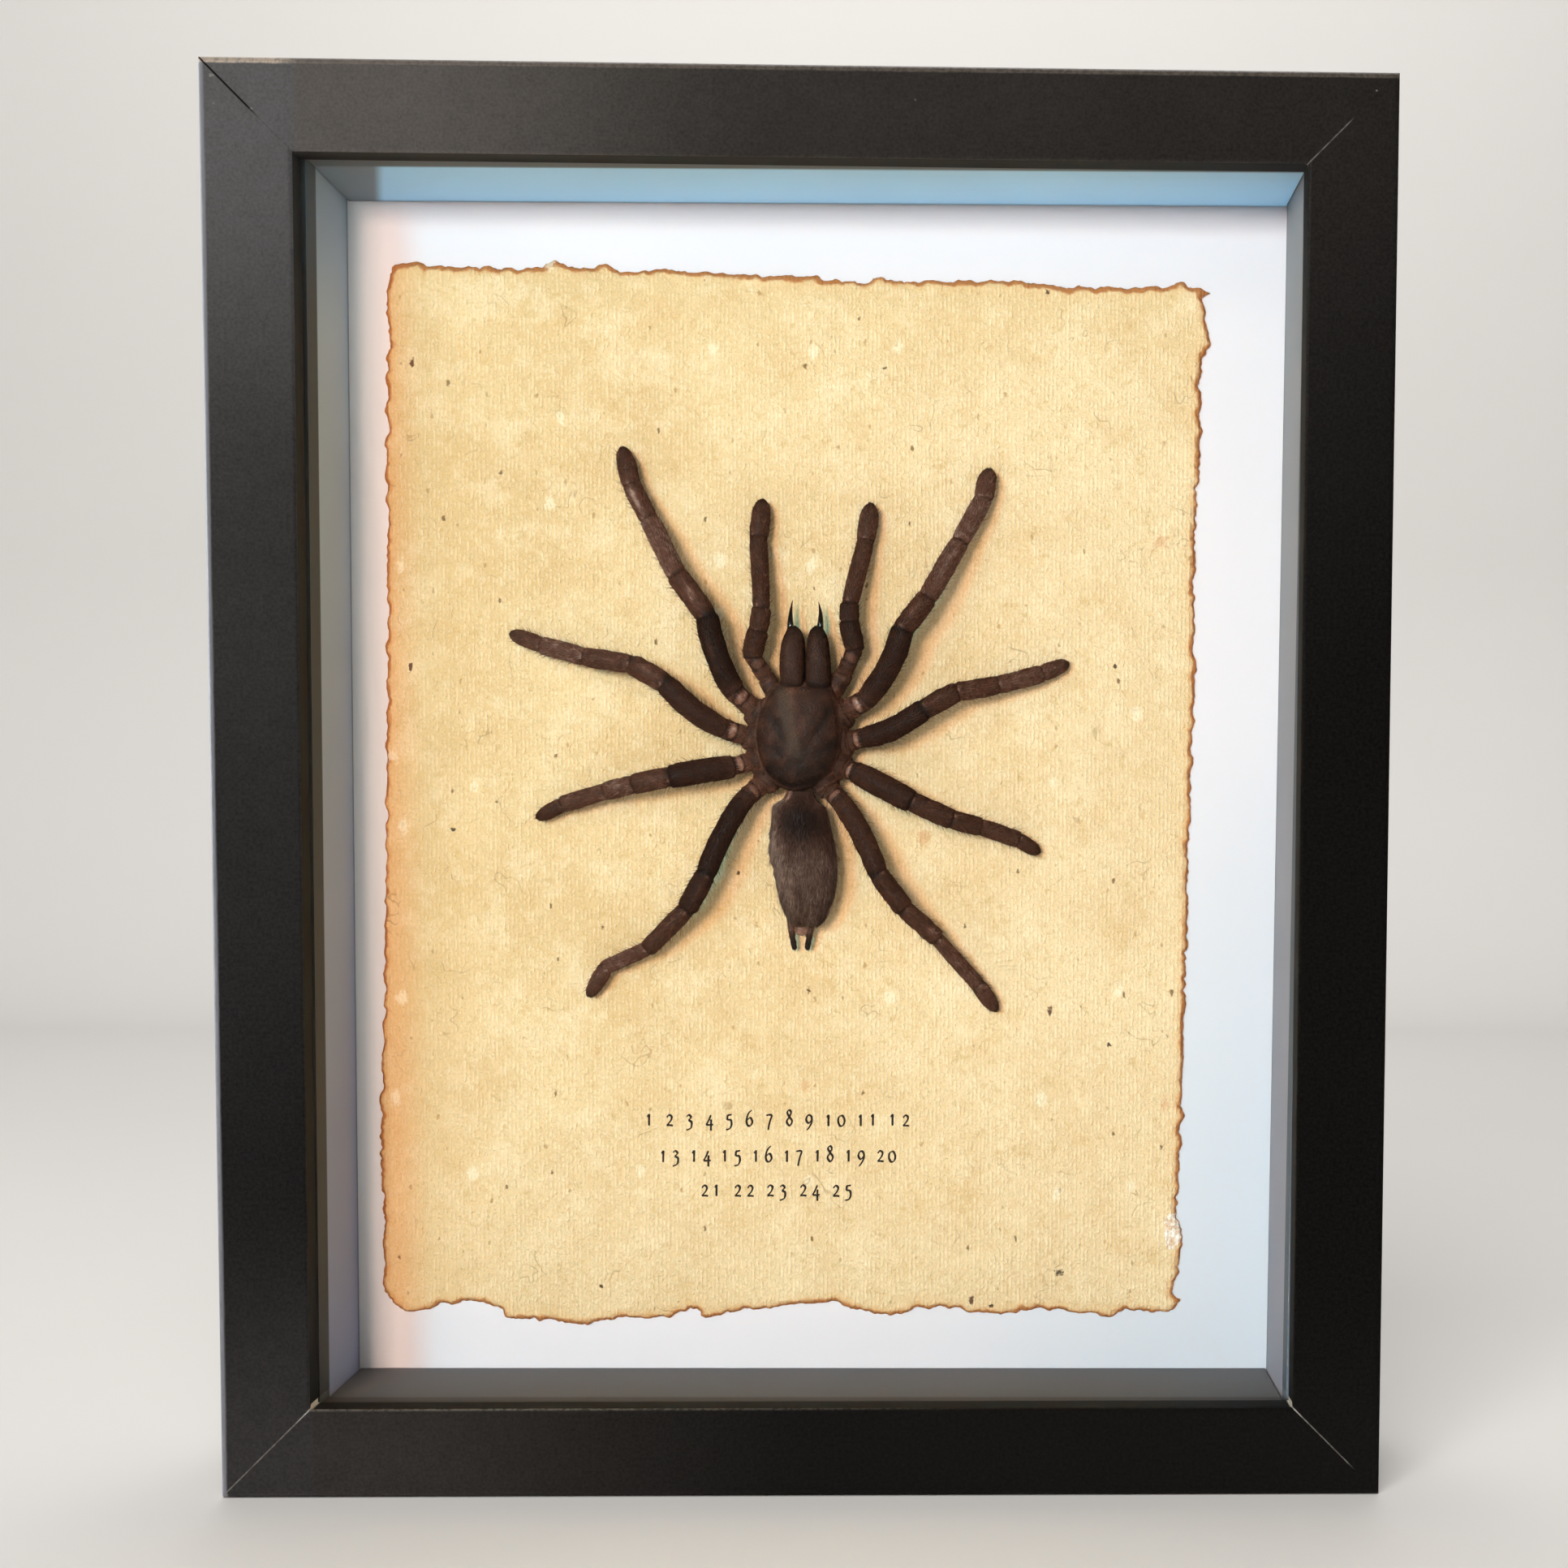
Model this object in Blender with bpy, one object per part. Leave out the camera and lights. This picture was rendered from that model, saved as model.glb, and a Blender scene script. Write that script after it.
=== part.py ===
"""A dried tarantula mounted on a deckle-edged paper sheet inside a black glazed box frame.

Metres, +Z up. The frame stands upright on Z = 0 with its glass towards -Y, and X = 0 is its middle.
"""

import math

import bmesh
import bpy
from mathutils import Vector

# Frame, seen from the front.
FRAME_WIDTH = 0.230
FRAME_HEIGHT = 0.279
FRAME_DEPTH = 0.040
FACE_WIDTH = 0.0177  # outer edge of the moulding to the edge of its opening
LIP_DEPTH = 0.005  # thickness of the lip that holds the glass in
REBATE_WIDTH = 0.004  # how far the lip stands in from the inner wall of the moulding
OUTER_ROUND = 0.0013
LIP_ROUND = 0.0006
BACK_ROUND = 0.0005
GAP = 0.0003  # clearance between pieces that touch

# Pieces stacked behind the lip, from the front: glass, lining, card, board.
GLASS_THICKNESS = 0.002
LINING_DEPTH = 0.0249
CARD_THICKNESS = 0.0015
BOARD_THICKNESS = 0.003
# How far the inner face of each lining strip lies outside the edge of the opening, at its two ends.
LINING_INSETS = {
    "lining_left": (0.0006, 0.0),  # bottom, top
    "lining_right": (0.0, 0.0015),
    "lining_bottom": (0.0013, 0.0017),  # left, right
    "lining_top": (0.0011, 0.0022),
}

# Retaining tabs and hanger on the back board.
TAB_LENGTH = 0.013
TAB_WIDTH = 0.007
TAB_THICKNESS = 0.0006
TAB_SPOTS_ACROSS = (-0.055, 0.055)
TAB_SPOTS_UP = (0.060, 0.219)
HANGER_LENGTH = 0.044
HANGER_HEIGHT = 0.009
HANGER_THICKNESS = 0.0008
HANGER_TEETH = 9
HANGER_TOOTH_DEPTH = 0.0022
HANGER_Z = 0.236

# The paper sheet, its front face, and its torn outline as (x, z), clockwise from the top left corner.
PAPER_THICKNESS = 0.001
PAPER_OUTLINE = (
    (-0.0882, 0.2484), (-0.0785, 0.2493), (-0.0618, 0.2488), (-0.0545, 0.2502), (-0.0478, 0.2490),
    (-0.0444, 0.2499), (-0.0394, 0.2486), (-0.0294, 0.2490), (-0.0198, 0.2483), (-0.0077, 0.2479),
    (-0.0004, 0.2480), (0.0015, 0.2472), (0.0105, 0.2470), (0.0123, 0.2478), (0.0184, 0.2474),
    (0.0298, 0.2472), (0.0408, 0.2473), (0.0499, 0.2466), (0.0591, 0.2463), (0.0730, 0.2468),
    (0.0764, 0.2478), (0.0792, 0.2465), (0.0828, 0.2454), (0.0813, 0.2439), (0.0825, 0.2348),
    (0.0811, 0.2301), (0.0806, 0.2252), (0.0810, 0.2203), (0.0807, 0.2118), (0.0799, 0.1860),
    (0.0801, 0.1610), (0.0793, 0.1350), (0.0791, 0.1100), (0.0785, 0.0860), (0.0783, 0.0668),
    (0.0779, 0.0605), (0.0773, 0.0505), (0.0785, 0.0466), (0.0781, 0.0385), (0.0769, 0.0328),
    (0.0785, 0.0309), (0.0747, 0.0284), (0.0669, 0.0291), (0.0626, 0.0275), (0.0512, 0.0291),
    (0.0381, 0.0281), (0.0269, 0.0297), (0.0169, 0.0281), (0.0075, 0.0292), (0.0032, 0.0308),
    (-0.0080, 0.0297), (-0.0177, 0.0287), (-0.0235, 0.0271), (-0.0262, 0.0289), (-0.0349, 0.0273),
    (-0.0431, 0.0273), (-0.0498, 0.0257), (-0.0579, 0.0270), (-0.0659, 0.0275), (-0.0682, 0.0296),
    (-0.0750, 0.0310), (-0.0807, 0.0301), (-0.0868, 0.0289), (-0.0905, 0.0305), (-0.0922, 0.0354),
    (-0.0923, 0.0527), (-0.0927, 0.0690), (-0.0914, 0.1013), (-0.0907, 0.1357), (-0.0901, 0.1697),
    (-0.0897, 0.1866), (-0.0897, 0.2115), (-0.0890, 0.2337),
)

# Tarantula. A place on it is (x, z, lift), where lift is the height above the face of the paper.
SHIELD_CENTRE = (-0.0031, 0.1515, 0.0058)
SHIELD_HALF = (0.0091, 0.0112, 0.0046)  # across, along, thick
SHIELD_LEAN = math.radians(4.0)
EYE_PLACE = (-0.0018, 0.1611, 0.0088)
EYE_RADIUS = 0.0013
ABDOMEN_AXIS = (  # place and half width from the waist to the tail
    ((-0.0029, 0.1398, 0.0052), 0.0013),
    ((-0.0028, 0.1382, 0.0054), 0.0020),
    ((-0.0027, 0.1373, 0.0056), 0.0044),
    ((-0.0028, 0.1355, 0.0060), 0.0057),
    ((-0.0027, 0.1317, 0.0064), 0.0065),
    ((-0.0025, 0.1284, 0.0066), 0.0068),
    ((-0.0016, 0.1227, 0.0065), 0.0064),
    ((-0.0014, 0.1191, 0.0063), 0.0060),
    ((-0.0016, 0.1160, 0.0060), 0.0051),
    ((-0.0017, 0.1138, 0.0057), 0.0041),
    ((-0.0017, 0.1128, 0.0056), 0.0027),
)
ABDOMEN_FLATNESS = 0.76  # thickness over width
SPINNERETS = (  # root, middle and tip
    ((-0.0050, 0.1150, 0.0044), (-0.0048, 0.1105, 0.0036), (-0.0043, 0.1068, 0.0026)),
    ((-0.0004, 0.1150, 0.0044), (-0.0011, 0.1105, 0.0036), (-0.0017, 0.1068, 0.0026)),
)
SPINNERET_RADIUS = 0.0009
JAW_BASE_Z = 0.1631
JAW_TIP_Z = 0.1744
JAWS = {"left": (-0.00455, 0.00275), "right": (0.00095, 0.00250)}  # middle x, half width
JAW_LIFT = 0.0062
JAW_HALF_THICKNESS = 0.0036
FANGS = {  # root, bend and tip
    "left": ((-0.0049, 0.1748, 0.0052), (-0.0049, 0.1773, 0.0046), (-0.0046, 0.1801, 0.0036)),
    "right": ((0.0013, 0.1748, 0.0052), (0.0013, 0.1773, 0.0046), (0.0008, 0.1798, 0.0036)),
}
FANG_RADIUS = 0.00062

# Jointed limbs: the end of the coxa, the trochanter, a point halfway along the femur, the knee,
# then the far ends of the patella, tibia, metatarsus (legs only) and tarsus.
LIMBS = {
    "leg_1_left": (
        (-0.0130, 0.1577, 0.0050), (-0.0165, 0.1609, 0.0060), (-0.0198, 0.1683, 0.0082),
        (-0.0216, 0.1760, 0.0095), (-0.0277, 0.1843, 0.0090), (-0.0339, 0.1962, 0.0060),
        (-0.0379, 0.2035, 0.0036), (-0.0400, 0.2115, 0.0026),
    ),
    "leg_2_left": (
        (-0.0145, 0.1519, 0.0050), (-0.0186, 0.1532, 0.0060), (-0.0244, 0.1567, 0.0082),
        (-0.0303, 0.1623, 0.0090), (-0.0372, 0.1663, 0.0080), (-0.0473, 0.1679, 0.0055),
        (-0.0568, 0.1705, 0.0033), (-0.0636, 0.1730, 0.0020),
    ),
    "leg_3_left": (
        (-0.0136, 0.1464, 0.0050), (-0.0168, 0.1454, 0.0060), (-0.0230, 0.1443, 0.0078),
        (-0.0294, 0.1432, 0.0085), (-0.0371, 0.1416, 0.0075), (-0.0433, 0.1401, 0.0055),
        (-0.0527, 0.1374, 0.0033), (-0.0584, 0.1345, 0.0019),
    ),
    "leg_4_left": (
        (-0.0112, 0.1416, 0.0050), (-0.0137, 0.1394, 0.0060), (-0.0182, 0.1321, 0.0083),
        (-0.0220, 0.1232, 0.0095), (-0.0260, 0.1159, 0.0088), (-0.0348, 0.1073, 0.0050),
        (-0.0439, 0.1032, 0.0032), (-0.0478, 0.0969, 0.0021),
    ),
    "leg_1_right": (
        (0.0072, 0.1574, 0.0050), (0.0107, 0.1593, 0.0060), (0.0157, 0.1662, 0.0082),
        (0.0185, 0.1736, 0.0095), (0.0235, 0.1800, 0.0090), (0.0302, 0.1920, 0.0060),
        (0.0351, 0.2013, 0.0036), (0.0365, 0.2077, 0.0026),
    ),
    "leg_2_right": (
        (0.0076, 0.1509, 0.0050), (0.0105, 0.1515, 0.0060), (0.0166, 0.1534, 0.0080),
        (0.0228, 0.1572, 0.0090), (0.0295, 0.1610, 0.0076), (0.0381, 0.1625, 0.0055),
        (0.0475, 0.1652, 0.0033), (0.0532, 0.1675, 0.0020),
    ),
    "leg_3_right": (
        (0.0069, 0.1451, 0.0050), (0.0088, 0.1443, 0.0060), (0.0148, 0.1412, 0.0078),
        (0.0203, 0.1383, 0.0085), (0.0286, 0.1346, 0.0075), (0.0346, 0.1331, 0.0055),
        (0.0427, 0.1304, 0.0033), (0.0473, 0.1277, 0.0019),
    ),
    "leg_4_right": (
        (0.0035, 0.1405, 0.0050), (0.0055, 0.1384, 0.0060), (0.0098, 0.1318, 0.0083),
        (0.0135, 0.1234, 0.0095), (0.0188, 0.1161, 0.0085), (0.0257, 0.1097, 0.0060),
        (0.0343, 0.0998, 0.0034), (0.0384, 0.0941, 0.0021),
    ),
    "palp_left": (
        (-0.0102, 0.1642, 0.0050), (-0.0127, 0.1683, 0.0060), (-0.0122, 0.1708, 0.0066),
        (-0.0114, 0.1733, 0.0070), (-0.0107, 0.1778, 0.0070), (-0.0117, 0.1931, 0.0035),
        (-0.0109, 0.2010, 0.0025),
    ),
    "palp_right": (
        (0.0064, 0.1652, 0.0050), (0.0086, 0.1701, 0.0060), (0.0079, 0.1726, 0.0066),
        (0.0074, 0.1754, 0.0070), (0.0075, 0.1789, 0.0070), (0.0106, 0.1925, 0.0035),
        (0.0117, 0.2004, 0.0025),
    ),
}
# Radius of each segment of a limb: trochanter, femur, patella, tibia, metatarsus, tarsus.
LIMB_RADII = {
    "leg_1": (0.0021, 0.00235, 0.0022, 0.00208, 0.0020, 0.00205),
    "leg_2": (0.0020, 0.00222, 0.00212, 0.00197, 0.0019, 0.00168),
    "leg_3": (0.0019, 0.0024, 0.00207, 0.00195, 0.0018, 0.00155),
    "leg_4": (0.0020, 0.0021, 0.0021, 0.0019, 0.00158, 0.00166),
    "palp": (0.0015, 0.0019, 0.0018, 0.00168, 0.00195),
}
COXA_RADIUS = 0.9  # as a share of the trochanter's radius
COXA_REACH = 0.5  # how far it runs in under the shield, as a share of the way to its centre
PINCH = 0.74  # radius at a joint, as a share of the segment's radius
SWELL = ((0.1, 0.93), (0.4, 1.0), (0.75, 0.98), (0.93, 0.9), (1.0, PINCH))
TIP_SWELL = ((0.12, 0.9), (0.4, 1.0), (0.72, 0.96), (0.92, 0.72), (1.0, 0.35))

# Colours as linear red, green and blue.
BLACK_PAINT = (0.012, 0.012, 0.013)
LINING_GREY = (0.36, 0.38, 0.41)
CARD_WHITE = (0.80, 0.81, 0.84)
BOARD_BROWN = (0.13, 0.085, 0.05)
STEEL_GREY = (0.55, 0.55, 0.56)
PAPER_TAN = (0.76, 0.56, 0.30)
HAIR_BROWN = (0.035, 0.022, 0.018)
FANG_BLACK = (0.006, 0.005, 0.005)
GLASS_CLEAR = (0.97, 0.99, 0.98)

FRONT_Y = -FRAME_DEPTH / 2
GLASS_Y = FRONT_Y + LIP_DEPTH + GAP
LINING_Y = GLASS_Y + GLASS_THICKNESS + GAP
CARD_Y = LINING_Y + LINING_DEPTH + GAP
BOARD_Y = CARD_Y + CARD_THICKNESS + GAP
BOARD_BACK_Y = BOARD_Y + BOARD_THICKNESS
PAPER_Y = CARD_Y - GAP - PAPER_THICKNESS  # front face of the paper
OPENING_X = FRAME_WIDTH / 2 - FACE_WIDTH
OPENING_BOTTOM = FACE_WIDTH
OPENING_TOP = FRAME_HEIGHT - FACE_WIDTH
REBATE_X = OPENING_X + REBATE_WIDTH
REBATE_BOTTOM = OPENING_BOTTOM - REBATE_WIDTH
REBATE_TOP = OPENING_TOP + REBATE_WIDTH
UNIT_RADIUS = 0.001  # a curve point's radius counts in these

for leftover in list(bpy.data.objects):
    bpy.data.objects.remove(leftover)

PARTS = bpy.data.collections.new("framed_tarantula_specimen")
FORMS = bpy.data.collections.new("fused_forms")
for group in (PARTS, FORMS):
    bpy.context.scene.collection.children.link(group)
FORMS.hide_render = True


def material(name, colour, roughness, metallic=0.0, transmission=0.0):
    """A plain Principled material of one colour."""
    finish = bpy.data.materials.new(name)
    finish.use_nodes = True
    shader = finish.node_tree.nodes["Principled BSDF"]
    shader.inputs["Base Color"].default_value = (*colour, 1.0)
    shader.inputs["Roughness"].default_value = roughness
    shader.inputs["Metallic"].default_value = metallic
    shader.inputs["Transmission Weight"].default_value = transmission
    finish.diffuse_color = (*colour, 1.0)
    return finish


def add_object(name, data, finish):
    """Links a new object in the specimen's collection, with one material."""
    piece = bpy.data.objects.new(name, data)
    data.materials.append(finish)
    PARTS.objects.link(piece)
    return piece


def mesh_piece(name, shape, finish, smooth=False):
    """Turns a bmesh into a finished piece."""
    bmesh.ops.recalc_face_normals(shape, faces=shape.faces)
    mesh = bpy.data.meshes.new(name)
    shape.to_mesh(mesh)
    shape.free()
    if smooth:
        mesh.shade_smooth()
    return add_object(name, mesh, finish)


def place(spot):
    """World position of a place on the tarantula."""
    x, z, lift = spot
    return Vector((x, PAPER_Y - lift, z))


def arc(centre, radius, start, end, steps=3):
    """Points of a quarter round, from one angle to another in degrees."""
    angles = [math.radians(start + (end - start) * i / steps) for i in range(steps + 1)]
    return [(centre[0] + radius * math.cos(a), centre[1] + radius * math.sin(a)) for a in angles]


def rail_profile():
    """Section of the moulding as (distance in from its outer edge, y): rounded face, lip and rebate."""
    lip_y = FRONT_Y + LIP_DEPTH
    back_y = FRAME_DEPTH / 2
    wall = FACE_WIDTH - REBATE_WIDTH
    return (
        arc((OUTER_ROUND, FRONT_Y + OUTER_ROUND), OUTER_ROUND, 180, 270)
        + arc((FACE_WIDTH - LIP_ROUND, FRONT_Y + LIP_ROUND), LIP_ROUND, 270, 360, 2)
        + [(FACE_WIDTH, lip_y), (wall, lip_y), (wall, back_y)]
        + arc((BACK_ROUND, back_y - BACK_ROUND), BACK_ROUND, 90, 180, 1)
    )


def rail(name, length, spot, turn, finish):
    """One side of the frame, its ends mitred so that two neighbours meet on the diagonal."""
    profile = rail_profile()
    cut_back = GAP / math.sqrt(2)
    shape = bmesh.new()
    section = shape.faces.new([shape.verts.new((0, y, inward)) for inward, y in profile])
    grown = bmesh.ops.extrude_face_region(shape, geom=[section])["geom"]
    far_end = {vert for vert in grown if isinstance(vert, bmesh.types.BMVert)}
    for vert in shape.verts:
        half = length / 2 - vert.co.z - cut_back
        vert.co.x = half if vert in far_end else -half
    piece = mesh_piece(name, shape, finish)
    piece.location = spot
    piece.rotation_euler = (0, turn, 0)
    return piece


def frame_rails(finish):
    """The four mitred rails, each turned from the same section."""
    middle = FRAME_HEIGHT / 2
    side = FRAME_WIDTH / 2
    rail("rail_bottom", FRAME_WIDTH, (0, 0, 0), 0, finish)
    rail("rail_top", FRAME_WIDTH, (0, 0, FRAME_HEIGHT), math.pi, finish)
    rail("rail_left", FRAME_HEIGHT, (-side, 0, middle), math.pi / 2, finish)
    rail("rail_right", FRAME_HEIGHT, (side, 0, middle), -math.pi / 2, finish)


def slab(name, y, thickness, finish, clearance=GAP):
    """A flat sheet that fills the rebate, such as the glass."""
    width = 2 * (REBATE_X - clearance)
    height = REBATE_TOP - REBATE_BOTTOM - 2 * clearance
    shape = bmesh.new()
    bmesh.ops.create_cube(shape, size=1.0)
    bmesh.ops.scale(shape, vec=(width, thickness, height), verts=shape.verts)
    piece = mesh_piece(name, shape, finish)
    piece.location = (0, y + thickness / 2, (REBATE_TOP + REBATE_BOTTOM) / 2)
    return piece


def lining_corner(side, end):
    """(x, z) of the inner face of the lining where two strips meet: side and end are -1 or 1."""
    upright = LINING_INSETS["lining_left" if side < 0 else "lining_right"]
    level = LINING_INSETS["lining_bottom" if end < 0 else "lining_top"]
    x = side * (OPENING_X + upright[0 if end < 0 else 1])
    edge = OPENING_BOTTOM if end < 0 else OPENING_TOP
    return x, edge + end * level[0 if side < 0 else 1]


def lining_strip(name, corners, finish):
    """A strip of the lining: a box whose four long edges pass through these (x, z) corners."""
    shape = bmesh.new()
    bmesh.ops.create_cube(shape, size=1.0)
    for vert in shape.verts:
        x, z = corners[(vert.co.x > 0, vert.co.z > 0)]
        y = LINING_Y if vert.co.y < 0 else LINING_Y + LINING_DEPTH
        vert.co = (x, y, z)
    return mesh_piece(name, shape, finish)


def lining(finish):
    """Four strips that line the box between the glass and the card. The side strips run its full height."""
    outer_x = REBATE_X - GAP
    low, high = REBATE_BOTTOM + GAP, REBATE_TOP - GAP
    for name, side in (("lining_left", -1), ("lining_right", 1)):
        inner = {end: lining_corner(side, end)[0] for end in (-1, 1)}
        outer = side * outer_x
        corners = {}
        for up, z, end in ((False, low, -1), (True, high, 1)):
            corners[(side < 0, up)] = (inner[end], z)
            corners[(side > 0, up)] = (outer, z)
        lining_strip(name, corners, finish)
    for name, end in (("lining_bottom", -1), ("lining_top", 1)):
        outer = low if end < 0 else high
        corners = {}
        for right, side in ((False, -1), (True, 1)):
            x, z = lining_corner(side, end)
            x -= side * GAP
            corners[(right, end < 0)] = (x, z)
            corners[(right, end > 0)] = (x, outer)
        lining_strip(name, corners, finish)


def flat_piece(name, outline, thickness, finish):
    """A flat outline in the XZ plane, extruded to a thickness about Y = 0."""
    curve = bpy.data.curves.new(name, "CURVE")
    curve.dimensions = "2D"
    curve.fill_mode = "BOTH"
    curve.extrude = thickness / 2
    spline = curve.splines.new("POLY")
    spline.points.add(len(outline) - 1)
    for point, (x, z) in zip(spline.points, outline):
        point.co = (x, z, 0, 1)
    spline.use_cyclic_u = True
    piece = add_object(name, curve, finish)
    piece.rotation_euler = (math.pi / 2, 0, 0)
    return piece


def tab(name, spot, turn, finish):
    """A flexible steel tab with a rounded free end, lying on the board and rooted at the rail."""
    half = TAB_WIDTH / 2
    outline = [(-half, 0), (-half, TAB_LENGTH - half)]
    outline += arc((0, TAB_LENGTH - half), half, 180, 0, 6)[1:-1]
    outline += [(half, TAB_LENGTH - half), (half, 0)]
    piece = flat_piece(name, outline, TAB_THICKNESS, finish)
    x, z = spot
    piece.location = (x, BOARD_BACK_Y + GAP + TAB_THICKNESS / 2, z)
    piece.rotation_euler = (math.pi / 2, turn, 0)


def tabs(finish):
    """Two tabs on each rail, pointing in over the board."""
    for number, x in enumerate(TAB_SPOTS_ACROSS, 1):
        tab(f"tab_bottom_{number}", (x, REBATE_BOTTOM + GAP), 0, finish)
        tab(f"tab_top_{number}", (x, REBATE_TOP - GAP), math.pi, finish)
    for number, z in enumerate(TAB_SPOTS_UP, 1):
        tab(f"tab_left_{number}", (-REBATE_X + GAP, z), math.pi / 2, finish)
        tab(f"tab_right_{number}", (REBATE_X - GAP, z), -math.pi / 2, finish)


def hanger(finish):
    """A saw-toothed hanging plate, riveted flat on the board near its top."""
    half = HANGER_LENGTH / 2
    ear = half * 0.3
    pitch = 2 * (half - ear) / HANGER_TEETH
    outline = [(-half, HANGER_HEIGHT * 0.3), (-half, 0), (-half + ear, 0)]
    for tooth in range(HANGER_TEETH):
        left = -half + ear + tooth * pitch
        outline += [(left + pitch / 2, HANGER_TOOTH_DEPTH), (left + pitch, 0)]
    outline += [(half, 0), (half, HANGER_HEIGHT * 0.3), (half - ear, HANGER_HEIGHT)]
    outline += [(-half + ear, HANGER_HEIGHT)]
    plate = flat_piece("hanger_plate", outline, HANGER_THICKNESS, finish)
    plate.location = (0, BOARD_BACK_Y + GAP + HANGER_THICKNESS / 2, HANGER_Z)


def paper(finish):
    """The handmade sheet that the tarantula is fixed to."""
    sheet = flat_piece("paper_sheet", PAPER_OUTLINE, PAPER_THICKNESS, finish)
    sheet.location.y = PAPER_Y + PAPER_THICKNESS / 2
    return sheet


def tube(name, points, radii, finish, resolution=3):
    """A round bar along straight runs, with its own radius at each point."""
    curve = bpy.data.curves.new(name, "CURVE")
    curve.dimensions = "3D"
    curve.bevel_depth = UNIT_RADIUS
    curve.bevel_resolution = resolution
    curve.use_fill_caps = True
    spline = curve.splines.new("POLY")
    spline.points.add(len(points) - 1)
    spline.use_smooth = True
    for point, spot, radius in zip(spline.points, points, radii):
        point.co = (*spot, 1)
        point.radius = radius / UNIT_RADIUS
    return add_object(name, curve, finish)


def as_mesh(piece):
    """Replaces a curve piece by its welded mesh, so that it can be joined to others."""
    graph = bpy.context.evaluated_depsgraph_get()
    mesh = bpy.data.meshes.new_from_object(piece.evaluated_get(graph))
    shape = bmesh.new()
    shape.from_mesh(mesh)
    bmesh.ops.remove_doubles(shape, verts=shape.verts, dist=1e-6)
    bmesh.ops.recalc_face_normals(shape, faces=shape.faces)
    shape.to_mesh(mesh)
    shape.free()
    name = piece.name
    matrix = piece.matrix_world.copy()
    bpy.data.objects.remove(piece)
    solid = bpy.data.objects.new(name, mesh)
    solid.matrix_world = matrix
    PARTS.objects.link(solid)
    return solid


def fuse(body, forms):
    """Joins other solids to a body with Boolean unions."""
    for form in forms:
        PARTS.objects.unlink(form)
        FORMS.objects.link(form)
        form.hide_render = True
        form.display_type = "WIRE"
        union = body.modifiers.new(f"join_{form.name}", "BOOLEAN")
        union.operation = "UNION"
        union.solver = "EXACT"
        union.object = form
    return body


def bowed(start, middle, end, along):
    """A point on the smooth bend from start to end that passes through middle."""
    pull = 2 * middle - (start + end) / 2
    return start.lerp(pull, along).lerp(pull.lerp(end, along), along)


def limb(name, finish):
    """A leg or palp from the end of its coxa to its tip: segments that swell, and pinch at each joint."""
    spots = [place(spot) for spot in LIMBS[name]]
    radii = LIMB_RADII[name.rsplit("_", 1)[0]]
    base, trochanter, femur_middle = spots[:3]
    start = base + (trochanter - base).normalized() * GAP
    stops = [start, trochanter, *spots[3:]]
    points = [start]
    sizes = [radii[0] * COXA_RADIUS]
    for number, radius in enumerate(radii):
        begin, end = stops[number], stops[number + 1]
        last = number == len(radii) - 1
        middle = femur_middle if number == 1 else (begin + end) / 2
        for along, swell in TIP_SWELL if last else SWELL:
            points.append(bowed(begin, middle, end, along))
            sizes.append(radius * swell)
    return tube(name, points, sizes, finish)


def superquadric(shape, centre, half, power):
    """A closed egg between a ball and a box, by moving the points of a sphere out to a rounder square."""
    ball = bmesh.ops.create_uvsphere(shape, u_segments=20, v_segments=10, radius=1.0)["verts"]
    for vert in ball:
        reach = sum(abs(part) ** power for part in vert.co) ** (1 / power)
        unit = vert.co / reach
        vert.co = Vector((centre[k] + unit[k] * half[k] for k in range(3)))
    return ball


def coxa(name):
    """The root of a limb, from under the shield out to the end of the coxa."""
    end, trochanter = (place(spot) for spot in LIMBS[name][:2])
    radius = LIMB_RADII[name.rsplit("_", 1)[0]][0] * COXA_RADIUS
    inner = end.lerp(place(SHIELD_CENTRE), COXA_REACH)
    shoulder = end - (trochanter - end).normalized() * radius / 2
    return as_mesh(tube(f"coxa_{name}", [inner, shoulder, end], [radius] * 3, HAIR))


def cephalothorax(finish):
    """The shield with the roots of all ten limbs under its edge, and the eyes' low knob at its front."""
    half = (SHIELD_HALF[0], SHIELD_HALF[2], SHIELD_HALF[1])
    shape = bmesh.new()
    superquadric(shape, (0, 0, 0), half, 2.5)
    body = mesh_piece("cephalothorax", shape, finish, smooth=True)
    body.location = place(SHIELD_CENTRE)
    body.rotation_euler = (0, SHIELD_LEAN, 0)
    eyes = bmesh.new()
    bmesh.ops.create_uvsphere(eyes, u_segments=12, v_segments=6, radius=EYE_RADIUS)
    knob = mesh_piece("eye_knob", eyes, finish, smooth=True)
    knob.location = place(EYE_PLACE)
    return fuse(body, [knob] + [coxa(name) for name in LIMBS])


def abdomen(finish):
    """The flattened abdomen with its narrow waist, and the two spinnerets under its tail."""
    points = [place(spot) for spot, _ in ABDOMEN_AXIS]
    level = points[len(points) // 2].y
    for point in points:
        point.y = (point.y - level) / ABDOMEN_FLATNESS
    body = tube("abdomen", points, [radius for _, radius in ABDOMEN_AXIS], finish, resolution=8)
    body.location.y = level
    body.scale.y = ABDOMEN_FLATNESS
    bpy.context.view_layer.update()
    body = as_mesh(body)
    radii = [SPINNERET_RADIUS, SPINNERET_RADIUS, SPINNERET_RADIUS * 0.5]
    spinnerets = []
    for number, spots in enumerate(SPINNERETS, 1):
        name = f"spinneret_{number}"
        spinnerets.append(as_mesh(tube(name, [place(spot) for spot in spots], radii, finish, 2)))
    return fuse(body, spinnerets)


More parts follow.
